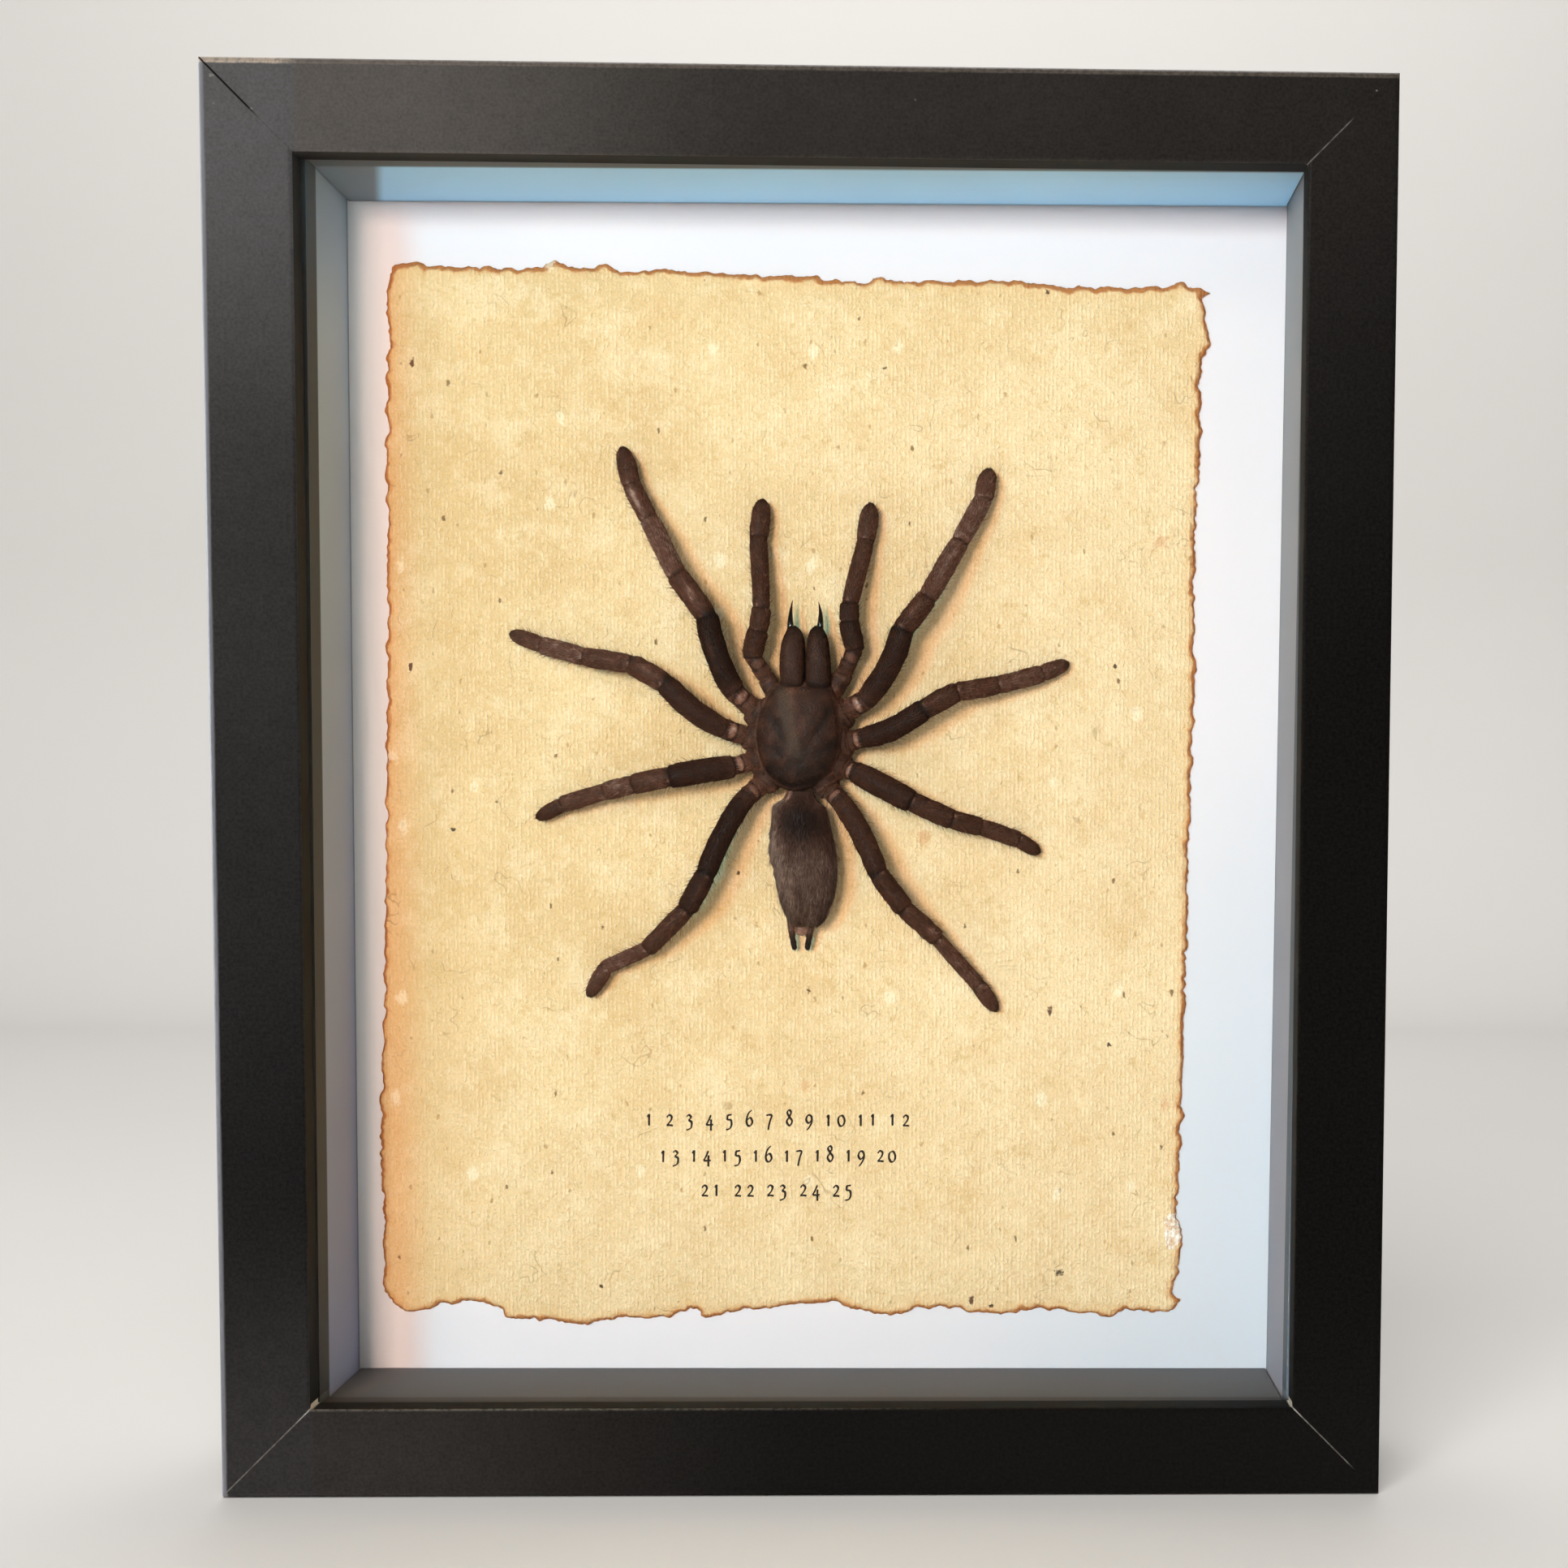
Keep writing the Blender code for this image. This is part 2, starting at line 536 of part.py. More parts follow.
def jaw(side, finish):
    """One chelicera: a flattened egg that narrows to the fang."""
    x, half_width = JAWS[side]
    length = JAW_TIP_Z - JAW_BASE_Z
    shape = bmesh.new()
    verts = superquadric(shape, (0, 0, length / 2), (half_width, JAW_HALF_THICKNESS, length / 2), 3.2)
    for vert in verts:
        along = vert.co.z / length
        vert.co.x *= 1 - 0.22 * along**3
        vert.co.y *= 1 - 0.35 * along**2
    piece = mesh_piece(f"chelicera_{side}", shape, finish, smooth=True)
    piece.location = place((x, JAW_BASE_Z, JAW_LIFT))
    return piece


def fang(side, finish):
    """A fang: a short tapering spike that leans towards the paper."""
    root, bend, tip = (place(spot) for spot in FANGS[side])
    points = [bowed(root, bend, tip, step / 5) for step in range(6)]
    radii = [FANG_RADIUS * (1 - 0.82 * (step / 5) ** 1.3) for step in range(6)]
    return tube(f"fang_{side}", points, radii, finish, resolution=2)


frame_rails(material("black_paint", BLACK_PAINT, 0.42))
slab("glass_pane", GLASS_Y, GLASS_THICKNESS, material("clear_glass", GLASS_CLEAR, 0.03, 0, 1.0))
lining(material("lining_card", LINING_GREY, 0.6))
slab("backing_card", CARD_Y, CARD_THICKNESS, material("white_card", CARD_WHITE, 0.7))
slab("back_board", BOARD_Y, BOARD_THICKNESS, material("fibreboard", BOARD_BROWN, 0.75))
STEEL = material("zinc_steel", STEEL_GREY, 0.35, 1.0)
tabs(STEEL)
hanger(STEEL)
paper(material("handmade_paper", PAPER_TAN, 0.85))
HAIR = material("brown_hair", HAIR_BROWN, 0.7)
cephalothorax(HAIR)
abdomen(HAIR)
for limb_name in LIMBS:
    limb(limb_name, HAIR)
HORN = material("black_horn", FANG_BLACK, 0.2)
for jaw_side in JAWS:
    jaw(jaw_side, HAIR)
    fang(jaw_side, HORN)
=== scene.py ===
"""Finishes and fine shapes of a framed tarantula specimen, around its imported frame. Metres, +Z up."""

import math

import bmesh
import bpy
import numpy as np
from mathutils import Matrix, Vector, kdtree, noise
from mathutils.geometry import delaunay_2d_cdt


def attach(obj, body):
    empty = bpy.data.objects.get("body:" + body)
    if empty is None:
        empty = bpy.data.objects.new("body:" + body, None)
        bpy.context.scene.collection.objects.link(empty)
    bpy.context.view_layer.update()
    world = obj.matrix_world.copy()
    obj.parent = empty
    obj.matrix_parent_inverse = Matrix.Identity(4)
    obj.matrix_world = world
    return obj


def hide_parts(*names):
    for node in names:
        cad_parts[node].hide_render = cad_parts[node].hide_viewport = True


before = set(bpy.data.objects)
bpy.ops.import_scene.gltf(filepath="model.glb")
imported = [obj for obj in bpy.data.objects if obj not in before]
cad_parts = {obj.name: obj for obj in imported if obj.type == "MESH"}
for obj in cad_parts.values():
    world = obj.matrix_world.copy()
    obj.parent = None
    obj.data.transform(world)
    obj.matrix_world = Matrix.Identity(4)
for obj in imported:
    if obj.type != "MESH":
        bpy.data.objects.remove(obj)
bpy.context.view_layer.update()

MM = 0.001
BODY = "root"

# ---------------------------------------------------------------- sizes shared with the CAD source
FRAME_WIDTH, FRAME_HEIGHT, FRAME_DEPTH = 0.230, 0.279, 0.040
FACE_WIDTH = 0.0177
LIP_DEPTH = 0.005
REBATE_WIDTH = 0.004
FRONT_Y = -FRAME_DEPTH / 2
PAPER_BACK_Y = 0.0125
PAPER_Y = 0.0115
PAPER_OUTLINE = (
    (-88.2, 248.4), (-78.5, 249.3), (-61.8, 248.8), (-54.5, 250.2), (-47.8, 249.0), (-44.4, 249.9),
    (-39.4, 248.6), (-29.4, 249.0), (-19.8, 248.3), (-7.7, 247.9), (-0.4, 248.0), (1.5, 247.2),
    (10.5, 247.0), (12.3, 247.8), (18.4, 247.4), (29.8, 247.2), (40.8, 247.3), (49.9, 246.6),
    (59.1, 246.3), (73.0, 246.8), (76.4, 247.8), (79.2, 246.5), (82.8, 245.4), (81.3, 243.9),
    (82.5, 234.8), (81.1, 230.1), (80.6, 225.2), (81.0, 220.3), (80.7, 211.8), (79.9, 186.0),
    (80.1, 161.0), (79.3, 135.0), (79.1, 110.0), (78.5, 86.0), (78.3, 66.8), (77.9, 60.5),
    (77.3, 50.5), (78.5, 46.6), (78.1, 38.5), (76.9, 32.8), (78.5, 30.9), (74.7, 28.4),
    (66.9, 29.1), (62.6, 27.5), (51.2, 29.1), (38.1, 28.1), (26.9, 29.7), (16.9, 28.1),
    (7.5, 29.2), (3.2, 30.8), (-8.0, 29.7), (-17.7, 28.7), (-23.5, 27.1), (-26.2, 28.9),
    (-34.9, 27.3), (-43.1, 27.3), (-49.8, 25.7), (-57.9, 27.0), (-65.9, 27.5), (-68.2, 29.6),
    (-75.0, 31.0), (-80.7, 30.1), (-86.8, 28.9), (-90.5, 30.5), (-92.2, 35.4), (-92.3, 52.7),
    (-92.7, 69.0), (-91.4, 101.3), (-90.7, 135.7), (-90.1, 169.7), (-89.7, 186.6), (-89.7, 211.5),
    (-89.0, 233.7),
)
SHIELD_CENTRE = (-3.1, 151.5, 5.8)
SHIELD_HALF = (9.1, 11.2, 4.6)
EYE_SPOT = (-1.8, 160.9, 8.35)
SPINNERETS = (
    ((-5.0, 115.0, 4.4), (-4.8, 110.5, 3.6), (-4.3, 106.8, 2.6)),
    ((-0.4, 115.0, 4.4), (-1.1, 110.5, 3.6), (-1.7, 106.8, 2.6)),
)
JAW_LIFT = 6.0
FANGS = {
    "left": ((-4.9, 174.8, 5.2), (-4.9, 177.3, 4.6), (-4.6, 180.1, 3.6)),
    "right": ((1.3, 174.8, 5.2), (1.3, 177.3, 4.6), (0.8, 179.8, 3.6)),
}
FANG_RADIUS = 0.62
# Coxa end, trochanter, middle of the femur, knee, then the far ends of the other segments: (x, z, lift).
LIMBS = {
    "leg_1_left": (
        (-13.0, 157.7, 5.0), (-16.5, 160.9, 6.0), (-19.8, 168.3, 8.2), (-21.6, 176.0, 9.5),
        (-27.7, 184.3, 9.0), (-33.9, 196.2, 6.0), (-37.9, 203.5, 3.6), (-40.0, 211.5, 2.6)),
    "leg_2_left": (
        (-14.5, 151.9, 5.0), (-18.6, 153.2, 6.0), (-24.4, 156.7, 8.2), (-30.3, 162.3, 9.0),
        (-37.2, 166.3, 8.0), (-47.3, 167.9, 5.5), (-56.8, 170.5, 3.3), (-63.6, 173.0, 2.0)),
    "leg_3_left": (
        (-13.6, 146.4, 5.0), (-16.8, 145.4, 6.0), (-23.0, 144.3, 7.8), (-29.4, 143.2, 8.5),
        (-37.1, 141.6, 7.5), (-43.3, 140.1, 5.5), (-52.7, 137.4, 3.3), (-58.4, 134.5, 1.9)),
    "leg_4_left": (
        (-11.2, 141.6, 5.0), (-13.7, 139.4, 6.0), (-18.2, 132.1, 8.3), (-22.0, 123.2, 9.5),
        (-26.0, 115.9, 8.8), (-34.8, 107.3, 5.0), (-43.9, 103.2, 3.2), (-47.8, 96.9, 2.1)),
    "leg_1_right": (
        (7.2, 157.4, 5.0), (10.7, 159.3, 6.0), (15.7, 166.2, 8.2), (18.5, 173.6, 9.5),
        (23.5, 180.0, 9.0), (30.2, 192.0, 6.0), (35.1, 201.3, 3.6), (36.5, 207.7, 2.6)),
    "leg_2_right": (
        (7.6, 150.9, 5.0), (10.5, 151.5, 6.0), (16.6, 153.4, 8.0), (22.8, 157.2, 9.0),
        (29.5, 161.0, 7.6), (38.1, 162.5, 5.5), (47.5, 165.2, 3.3), (53.2, 167.5, 2.0)),
    "leg_3_right": (
        (6.9, 145.1, 5.0), (8.8, 144.3, 6.0), (14.8, 141.2, 7.8), (20.3, 138.3, 8.5),
        (28.6, 134.6, 7.5), (34.6, 133.1, 5.5), (42.7, 130.4, 3.3), (47.3, 127.7, 1.9)),
    "leg_4_right": (
        (3.5, 140.5, 5.0), (5.5, 138.4, 6.0), (9.8, 131.8, 8.3), (13.5, 123.4, 9.5),
        (18.8, 116.1, 8.5), (25.7, 109.7, 6.0), (34.3, 99.8, 3.4), (38.4, 94.1, 2.1)),
    "palp_left": (
        (-10.2, 164.2, 5.0), (-12.7, 168.3, 6.0), (-12.2, 170.8, 6.6), (-11.4, 173.3, 7.0),
        (-10.7, 177.8, 7.0), (-11.7, 193.1, 3.5), (-10.9, 201.0, 2.5)),
    "palp_right": (
        (6.4, 165.2, 5.0), (8.6, 170.1, 6.0), (7.9, 172.6, 6.6), (7.4, 175.4, 7.0),
        (7.5, 178.9, 7.0), (10.6, 192.5, 3.5), (11.7, 200.4, 2.5)),
}
# Radius of the trochanter, femur, patella, tibia, metatarsus (legs only) and tarsus.
LIMB_RADII = {
    "leg_1": (2.1, 2.35, 2.2, 2.08, 2.0, 2.05),
    "leg_2": (2.0, 2.22, 2.12, 1.97, 1.9, 1.68),
    "leg_3": (1.9, 2.4, 2.07, 1.95, 1.8, 1.55),
    "leg_4": (2.0, 2.1, 2.1, 1.9, 1.58, 1.66),
    "palp": (1.5, 1.9, 1.8, 1.68, 1.95),
}
# How brown each of those segments is: 0 is black, 0.5 purple brown and 1 a pale reddish brown.
LIMB_TONES = {
    "leg_1_left": (0.55, 0.14, 0.54, 0.75, 0.62, 0.56),
    "leg_2_left": (0.5, 0.32, 0.54, 0.60, 0.74, 0.62),
    "leg_3_left": (0.6, 0.25, 0.55, 0.7, 0.65, 0.5),
    "leg_4_left": (0.55, 0.20, 0.34, 0.58, 0.72, 0.66),
    "leg_1_right": (0.6, 0.24, 0.54, 0.74, 0.80, 0.66),
    "leg_2_right": (0.45, 0.26, 0.52, 0.66, 0.76, 0.70),
    "leg_3_right": (0.45, 0.34, 0.5, 0.52, 0.6, 0.55),
    "leg_4_right": (0.5, 0.40, 0.46, 0.62, 0.70, 0.66),
    "palp_left": (0.5, 0.4, 0.5, 0.52, 0.55),
    "palp_right": (0.45, 0.25, 0.35, 0.6, 0.6),
}
COXA_REACH = 0.5

# ---------------------------------------------------------------- camera, light and stage
scene = bpy.context.scene
scene.view_settings.view_transform = "Standard"
scene.view_settings.look = "None"
SPECIMEN_MIDDLE = Vector((0, 0, 0.14))


def photo_camera():
    """The camera, where the photograph was taken from."""
    lens = bpy.data.cameras.new("photo_camera")
    lens.lens, lens.sensor_width = 42.855, 36.0
    lens.shift_x, lens.shift_y = -0.13978, 0.08271
    camera = bpy.data.objects.new("photo_camera", lens)
    camera.location = (0.031039, -0.385531, 0.134801)
    camera.rotation_euler = [math.radians(angle) for angle in (87.084, -0.266, -1.245)]
    scene.collection.objects.link(camera)
    scene.camera = camera


def soft_light(name, spot, target, size, watts, colour, skips=(), only=()):
    """A square area light, itself unseen, that faces a target and skips some pieces or lights only some."""
    lamp = bpy.data.lights.new(name, "AREA")
    lamp.shape, lamp.size, lamp.energy, lamp.color = "SQUARE", size, watts, colour
    light = bpy.data.objects.new(name, lamp)
    light.location = spot
    light.rotation_euler = (Vector(target) - Vector(spot)).to_track_quat("-Z", "Y").to_euler()
    light.visible_camera = False
    scene.collection.objects.link(light)
    if skips or only:
        chosen = bpy.data.collections.new(f"{name}_pieces")
        light.light_linking.receiver_collection = chosen
        for piece in skips or only:
            chosen.objects.link(piece)
        for link in chosen.collection_objects:
            link.light_linking.link_state = "INCLUDE" if only else "EXCLUDE"


def around(azimuth, elevation, distance):
    """A place seen from the middle of the specimen at these angles; azimuth 0 is straight in front."""
    a, e = math.radians(azimuth), math.radians(elevation)
    way = Vector((math.sin(a) * math.cos(e), -math.cos(a) * math.cos(e), math.sin(e)))
    return SPECIMEN_MIDDLE + distance * way


def studio(rails, floor):
    """Warm key, cool side light a little further left, a sheen from the top left, and lights behind."""
    middle, white = SPECIMEN_MIDDLE, (1.0, 0.98, 0.96)
    pane = [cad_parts["glass_pane"]]
    shy = [*pane, *rails, floor]
    walls = [piece for name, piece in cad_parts.items() if name.startswith("lining_")]
    soft_light("key_light", around(-11, 6, 1.5), middle, 0.28, 22.2, (1.0, 0.73, 0.61), shy)
    soft_light("side_light", around(-24, 8, 1.5), middle, 0.26, 11.6, (0.08, 0.72, 1.0), shy)
    soft_light("low_light", (-0.1, -1.0, 0.05), (0, 0, 0.25), 0.22, 14.0, (0.03, 0.56, 1.0), only=walls)
    soft_light("sheen_light", (-1.0, -1.5, 1.1), middle, 0.4, 5.0, (1.0, 0.95, 0.88), pane)
    soft_light("fill_light", (0.4, -2.6, 0.5), middle, 2.2, 14.0, (1.0, 0.97, 0.92), pane + rails)
    soft_light("wash_light", (-0.3, -1.6, 2.0), (0, 0.4, 0.2), 1.8, 62.0, (1.0, 0.985, 0.965), only=[floor])
    soft_light("rim_light", (-1.25, 0.4, 0.3), middle, 0.6, 9.0, (0.86, 0.94, 1.0), pane + [floor])
    soft_light("top_light", (0.0, 0.45, 1.5), (0, 0.25, 0), 0.9, 9.0, white, pane)
    soft_light("back_light", (0.35, 1.05, 0.55), (0.35, -9.0, 0.55), 0.9, 9.0, white, pane + [floor])
    world = bpy.data.worlds.new("studio")
    world.use_nodes = True
    background = world.node_tree.nodes["Background"]
    background.inputs["Color"].default_value = (1.0, 0.85, 0.7, 1.0)
    background.inputs["Strength"].default_value = 0.03
    scene.world = world


# ---------------------------------------------------------------- node trees
def maths(operation, swapped=False):
    """A method that passes a value, and any other that it is given, through a Math node."""

    def method(self, *others):
        values = (*others, self) if swapped else (self, *others)
        return self.maker.node("ShaderNodeMath", {"operation": operation}, dict(enumerate(values)))

    return method


class Socket:
    """A value on its way through a tree's nodes. Arithmetic on it adds Math nodes."""

    __add__ = __radd__ = maths("ADD")
    __sub__, __rsub__ = maths("SUBTRACT"), maths("SUBTRACT", swapped=True)
    __mul__ = __rmul__ = maths("MULTIPLY")
    __truediv__, __pow__ = maths("DIVIDE"), maths("POWER")
    size, least, most = maths("ABSOLUTE"), maths("MINIMUM"), maths("MAXIMUM")

    def __init__(self, maker, link):
        self.maker, self.link = maker, link

    def fade(self, low, high):
        """0 below low, 1 above high and smooth between; the other way round where low is above high."""
        steps = {"Value": self, "From Min": low, "From Max": high}
        return self.maker.node("ShaderNodeMapRange", {"interpolation_type": "SMOOTHSTEP"}, steps)


class Maker:
    """A node tree in the making."""

    def node(self, kind, settings=None, sockets=None, output=0):
        """Adds a node: its settings first, a ramp's stops among them, then its sockets' values or links."""
        made = self.tree.nodes.new(kind)
        for name, value in (settings or {}).items():
            if name == "stops":
                self.set_ramp(made.color_ramp, value)
            else:
                setattr(made, name, value)
        for name, value in (sockets or {}).items():
            self.fill(made.inputs[name], value)
        return Socket(self, made.outputs[output])

    @staticmethod
    def set_ramp(ramp, stops):
        while len(ramp.elements) < len(stops):
            ramp.elements.new(1.0)
        for element, (position, colour) in zip(ramp.elements, stops):
            element.position, element.color = position, (*colour, 1.0)

    def fill(self, socket, value):
        if isinstance(value, Socket):
            self.tree.links.new(value.link, socket)
        elif isinstance(value, tuple) and len(value) == 3 and socket.type == "RGBA":
            socket.default_value = (*value, 1.0)
        else:
            socket.default_value = value


# ---------------------------------------------------------------- materials from nodes
class Finish(Maker):
    """A material in the making, around one Principled shader."""

    def __init__(self, name, **constants):
        self.material = bpy.data.materials.new(name)
        self.material.use_nodes = True
        self.tree = self.material.node_tree
        self.shader = self.tree.nodes["Principled BSDF"]
        self.object = self.node("ShaderNodeTexCoord", output="Object")
        self.drive(**constants)

    def drive(self, **values):
        """Sets or links the shader's own sockets: base_color is its Base Color, and so on."""
        for name, value in values.items():
            title = name.replace("_", " ").title().replace("Ior", "IOR")
            self.fill(self.shader.inputs[title], value)
        return self

    def axes(self, vector=None):
        outputs = self.node("ShaderNodeSeparateXYZ", sockets={0: vector or self.object}).link.node.outputs
        return [Socket(self, outputs[index]) for index in range(3)]

    def stretched(self, across, deep, up, turn=0.0):
        """Object coordinates scaled along each axis, and turned in the picture plane."""
        sockets = {"Vector": self.object, "Scale": (across, deep, up), "Rotation": (0.0, turn, 0.0)}
        return self.node("ShaderNodeMapping", sockets=sockets)

    def noise(self, scale, detail=2.0, roughness=0.5, vector=None, distortion=0.0):
        names = ("Vector", "Scale", "Detail", "Roughness", "Distortion")
        values = (vector or self.object, scale, detail, roughness, distortion)
        return self.node("ShaderNodeTexNoise", sockets=dict(zip(names, values)))

    def cells(self, scale, vector=None, output="Distance", flat=False):
        """Voronoi cells; flat ones read only the first two coordinates."""
        settings = {"voronoi_dimensions": "2D" if flat else "3D"}
        sockets = {"Vector": vector or self.object, "Scale": scale}
        return self.node("ShaderNodeTexVoronoi", settings, sockets, output)

    def attribute(self, name):
        return self.node("ShaderNodeAttribute", {"attribute_name": name}, output="Fac")

    def mix(self, factor, first, second, blend="MIX"):
        """first where factor is 0 and second where it is 1, as colours."""
        settings = {"data_type": "RGBA", "blend_type": blend}
        return self.node("ShaderNodeMix", settings, {0: factor, 6: first, 7: second}, output=2)

    def over(self, colour, *layers):
        """A colour with layers of (factor, tint) laid over it in turn."""
        for factor, tint in layers:
            colour = self.mix(factor, colour, tint)
        return colour

    def ramp(self, value, *stops):
        return self.node("ShaderNodeValToRGB", {"stops": stops}, {0: value})

    def bump(self, height, depth, strength=1.0):
        """Turns a height of 0 to 1 into relief of this depth in metres."""
        sockets = {"Height": height, "Distance": depth, "Strength": strength}
        return self.drive(normal=self.node("ShaderNodeBump", sockets=sockets))


def bite(x, z, middle, half):
    """Grows from 0 at a place (x, z) to 1 on the ellipse with these half sizes."""
    return ((x - middle[0]) / half[0]) ** 2 + ((z - middle[1]) / half[1]) ** 2


# Chips in the paint: x, z, half length and half height, in metres.
CHIPS = (
    (-0.1122, 0.2752, 0.00055, 0.0003), (-0.1048, 0.269, 0.00035, 0.00028),
    (0.1103, 0.2752, 0.0002, 0.00016), (-0.1118, 0.27, 0.00025, 0.0004), (0.0215, 0.2722, 0.0002, 0.0003),
)


def black_paint():
    """Satin black paint: faint grain, painted sheen and painted edge highlights, rubbed mitres and chips, and
    a painted glint at the bottom lip.
    """
    finish = Finish("satin_black_paint", specular_ior_level=0.38)
    x, y, z = finish.axes()
    cloud = finish.noise(28, 3, 0.6)
    fleck = finish.noise(1500, 3, 0.75).fade(0.28, 0.72)
    grain = finish.noise(420, 3, 0.6)
    chips = finish.noise(900, 3, 0.7).fade(0.42, 0.56)
    wear = finish.noise(160, 4, 0.7)
    left, right, drop, depth = x + FRAME_WIDTH / 2, FRAME_WIDTH / 2 - x, FRAME_HEIGHT - z, y - FRONT_Y
    inner = left.least(right).least(drop.least(z))
    face, front, corner = depth.fade(0.004, 0.0012), depth.fade(0.0019, 0.0011), depth.fade(0.0004, 0.001)
    # Painted sheen, paler and mottled, on the face only: towards the top left, along the top at the left and
    # along the bottom.
    mottle = (0.55 + 0.45 * cloud) * (0.64 + 0.52 * fleck + 0.16 * grain.fade(0.3, 0.7))
    mottle = mottle * (0.1 + 0.9 * face)
    painted_foot_sheen = z.fade(0.07, 0.0) * x.fade(0.01, -0.1) * mottle
    paint = finish.over(
        finish.mix(fleck, (0.005, 0.0046, 0.0048), (0.021, 0.019, 0.019)),
        ((z + x * -0.7).fade(0.07, 0.35) * mottle, (0.105, 0.094, 0.087)),
        (z.fade(0.2, 0.27) * x.fade(-0.01, -0.08) * mottle, (0.217, 0.203, 0.196)),
        (painted_foot_sheen * 0.85 + z.fade(0.05, 0.0) * 0.07, (0.11, 0.095, 0.088)),
    )
    # The left rail's face, chiefly its painted sheen, is more neutral.
    paint = finish.mix(x.fade(-0.0955, -0.0975) * face, paint, (0.99, 1.08, 1.2), "MULTIPLY")
    lip = inner.fade(FACE_WIDTH - 0.0002, FACE_WIDTH - 0.00005) * depth.fade(0.0003, 0.0006)
    # Painted highlights along the outer left and top front edges, and along the lip at the bottom.
    left_edge_highlight = (left + (wear - 0.5) * 0.0005).fade(0.00155, 0.00095) * front * (0.4 + 0.9 * wear)
    top_edge_highlight = (drop + (wear - 0.5) * 0.0005).fade(0.0016, 0.00115) * front
    top_edge_highlight = top_edge_highlight * (0.17 + 0.83 * x.fade(-0.095, -0.102)) * (0.65 + 0.6 * chips)
    lip_edge_highlight = (z - FACE_WIDTH).size().fade(0.0004, 0.00014) * depth.fade(0.0007, 0.0003)
    lip_edge_highlight = lip_edge_highlight * x.fade(0.05, -0.08) * (inner - z).size().fade(0.0004, 0.0002) * (0.4 + 0.8 * chips)
    # Three mitres are rubbed: how far across the line, how far in, where it starts and how much.
    worn = 0.0
    for across, inward, start, amount in (
        (left - z, left, 0.0, 0.95), (right - z, right, 0.0058, 0.9), (right - drop, right, 0.0095, 0.8),
    ):
        line = (across.size() - corner * 0.0007).fade(0.00026, 0.0001)
        line = line * inward.fade(start - 0.001, start + 0.001) * inward.fade(FACE_WIDTH + 0.0006, FACE_WIDTH)
        line = line * (1 - corner * z.fade(0.1, 0.2)) * depth.fade(0.0056, 0.005)
        # Where the rub crosses the lip's inner side it is brightened into a painted glint.
        strength = 0.3 + 0.45 * chips + 0.9 * (wear - 0.35).most(0.0) + corner * 2.0
        worn = (line * strength.least(1.6) * amount).least(1.0).most(worn)
    for chip_x, chip_z, long, high in CHIPS:
        chip = bite(x, z, (chip_x, chip_z), (long, high)) + (fleck - 0.5) * 2.6
        worn = (chip.fade(1.0, 0.3) * front * 0.8).most(worn)
    # Painted glint: near white where the rubbed mitres reach the lip at the bottom.
    painted_glint = worn * inner.fade(FACE_WIDTH - 0.0035, FACE_WIDTH - 0.0008) * z.fade(0.1, 0.05)
    # The top left mitre is an open, dark line.
    gap = (left - drop).size().fade(0.00034, 0.00016) * front
    gap = gap * (left + (wear - 0.5) * 0.006).fade(0.0125, 0.0085)
    paint = finish.over(
        paint,
        (lip * 0.85, (0.0085, 0.01, 0.011)),
        ((left_edge_highlight * 0.9).least(1.0), (0.5, 0.52, 0.6)),
        (top_edge_highlight.least(1.0), (1.0, 0.85, 0.71)),
        (lip_edge_highlight * 0.8, (0.42, 0.41, 0.38)),
        (worn, (0.46, 0.44, 0.41)),
        (painted_glint, (1.0, 0.99, 0.95)),
        (gap * 0.95, (0.002, 0.002, 0.002)),
    )
    finish.drive(base_color=paint, roughness=0.36 + 0.16 * cloud + worn * 0.2 + gap * 0.6 + lip * 0.4)
    return finish.bump(fleck * 0.4 + grain * 0.6, 0.00002, 0.8)


def clear_glass():
    """A thin clear pane: it passes what is behind it and mirrors a little of the room."""
    finish = Finish("clear_glass", base_color=(0.96, 0.98, 0.97), metallic=1.0, roughness=0.01)
    facing = finish.node("ShaderNodeLayerWeight", sockets={"Blend": 0.5}, output="Facing")
    mirror = 0.035 + 0.965 * facing ** 5
    open_air = finish.node("ShaderNodeBsdfTransparent", sockets={"Color": (0.985, 0.992, 0.988)})
    shader = Socket(finish, finish.shader.outputs[0])
    mixed = finish.node("ShaderNodeMixShader", sockets={0: mirror, 1: open_air, 2: shader})
    finish.fill(finish.tree.nodes["Material Output"].inputs["Surface"], mixed)
    return finish


def lining_card(name, front, back, edge=(-0.008, -0.0074), cool=None, high=None):
    """Matt card along one wall, in a lit or shaded copy: a darker front band, painted light and shade, fine
    tooth and painted shade along the back edge.
    """
    finish = Finish(name, roughness=0.72, specular_ior_level=0.3)
    x, y, z = finish.axes()
    tooth = finish.noise(1500, 3, 0.65)
    cloud = finish.noise(35, 3, 0.55)
    wall = back
    # Painted light: on the top wall a patch of blue light, shaded towards its left end; on the side walls a
    # colour that changes towards the top.
    if cool:
        wall = finish.mix((x + y * 0.305).fade(-0.0882, -0.0856), back, cool)
    if high:
        wall = finish.mix(z.fade(0.03, 0.25), back, high)
    colour = finish.over(
        finish.mix(y.fade(*edge), front, wall),
        # Painted shade at the top of the left wall.
        (z.fade(0.23, 0.262) * x.fade(-0.096, -0.098) * 0.55, (0.13, 0.165, 0.175)),
        (cloud * 0.18, (0.1, 0.1, 0.1)),
        # Painted shade along the back edge, where the wall meets the backing.
        (y.fade(0.0112, 0.0124) * 0.55, (0.12, 0.11, 0.105)),
    )
    colour = finish.mix(tooth * 0.12, colour, (0.9, 0.9, 0.9), "OVERLAY")
    return finish.drive(base_color=colour).bump(tooth, 0.00002, 0.5)


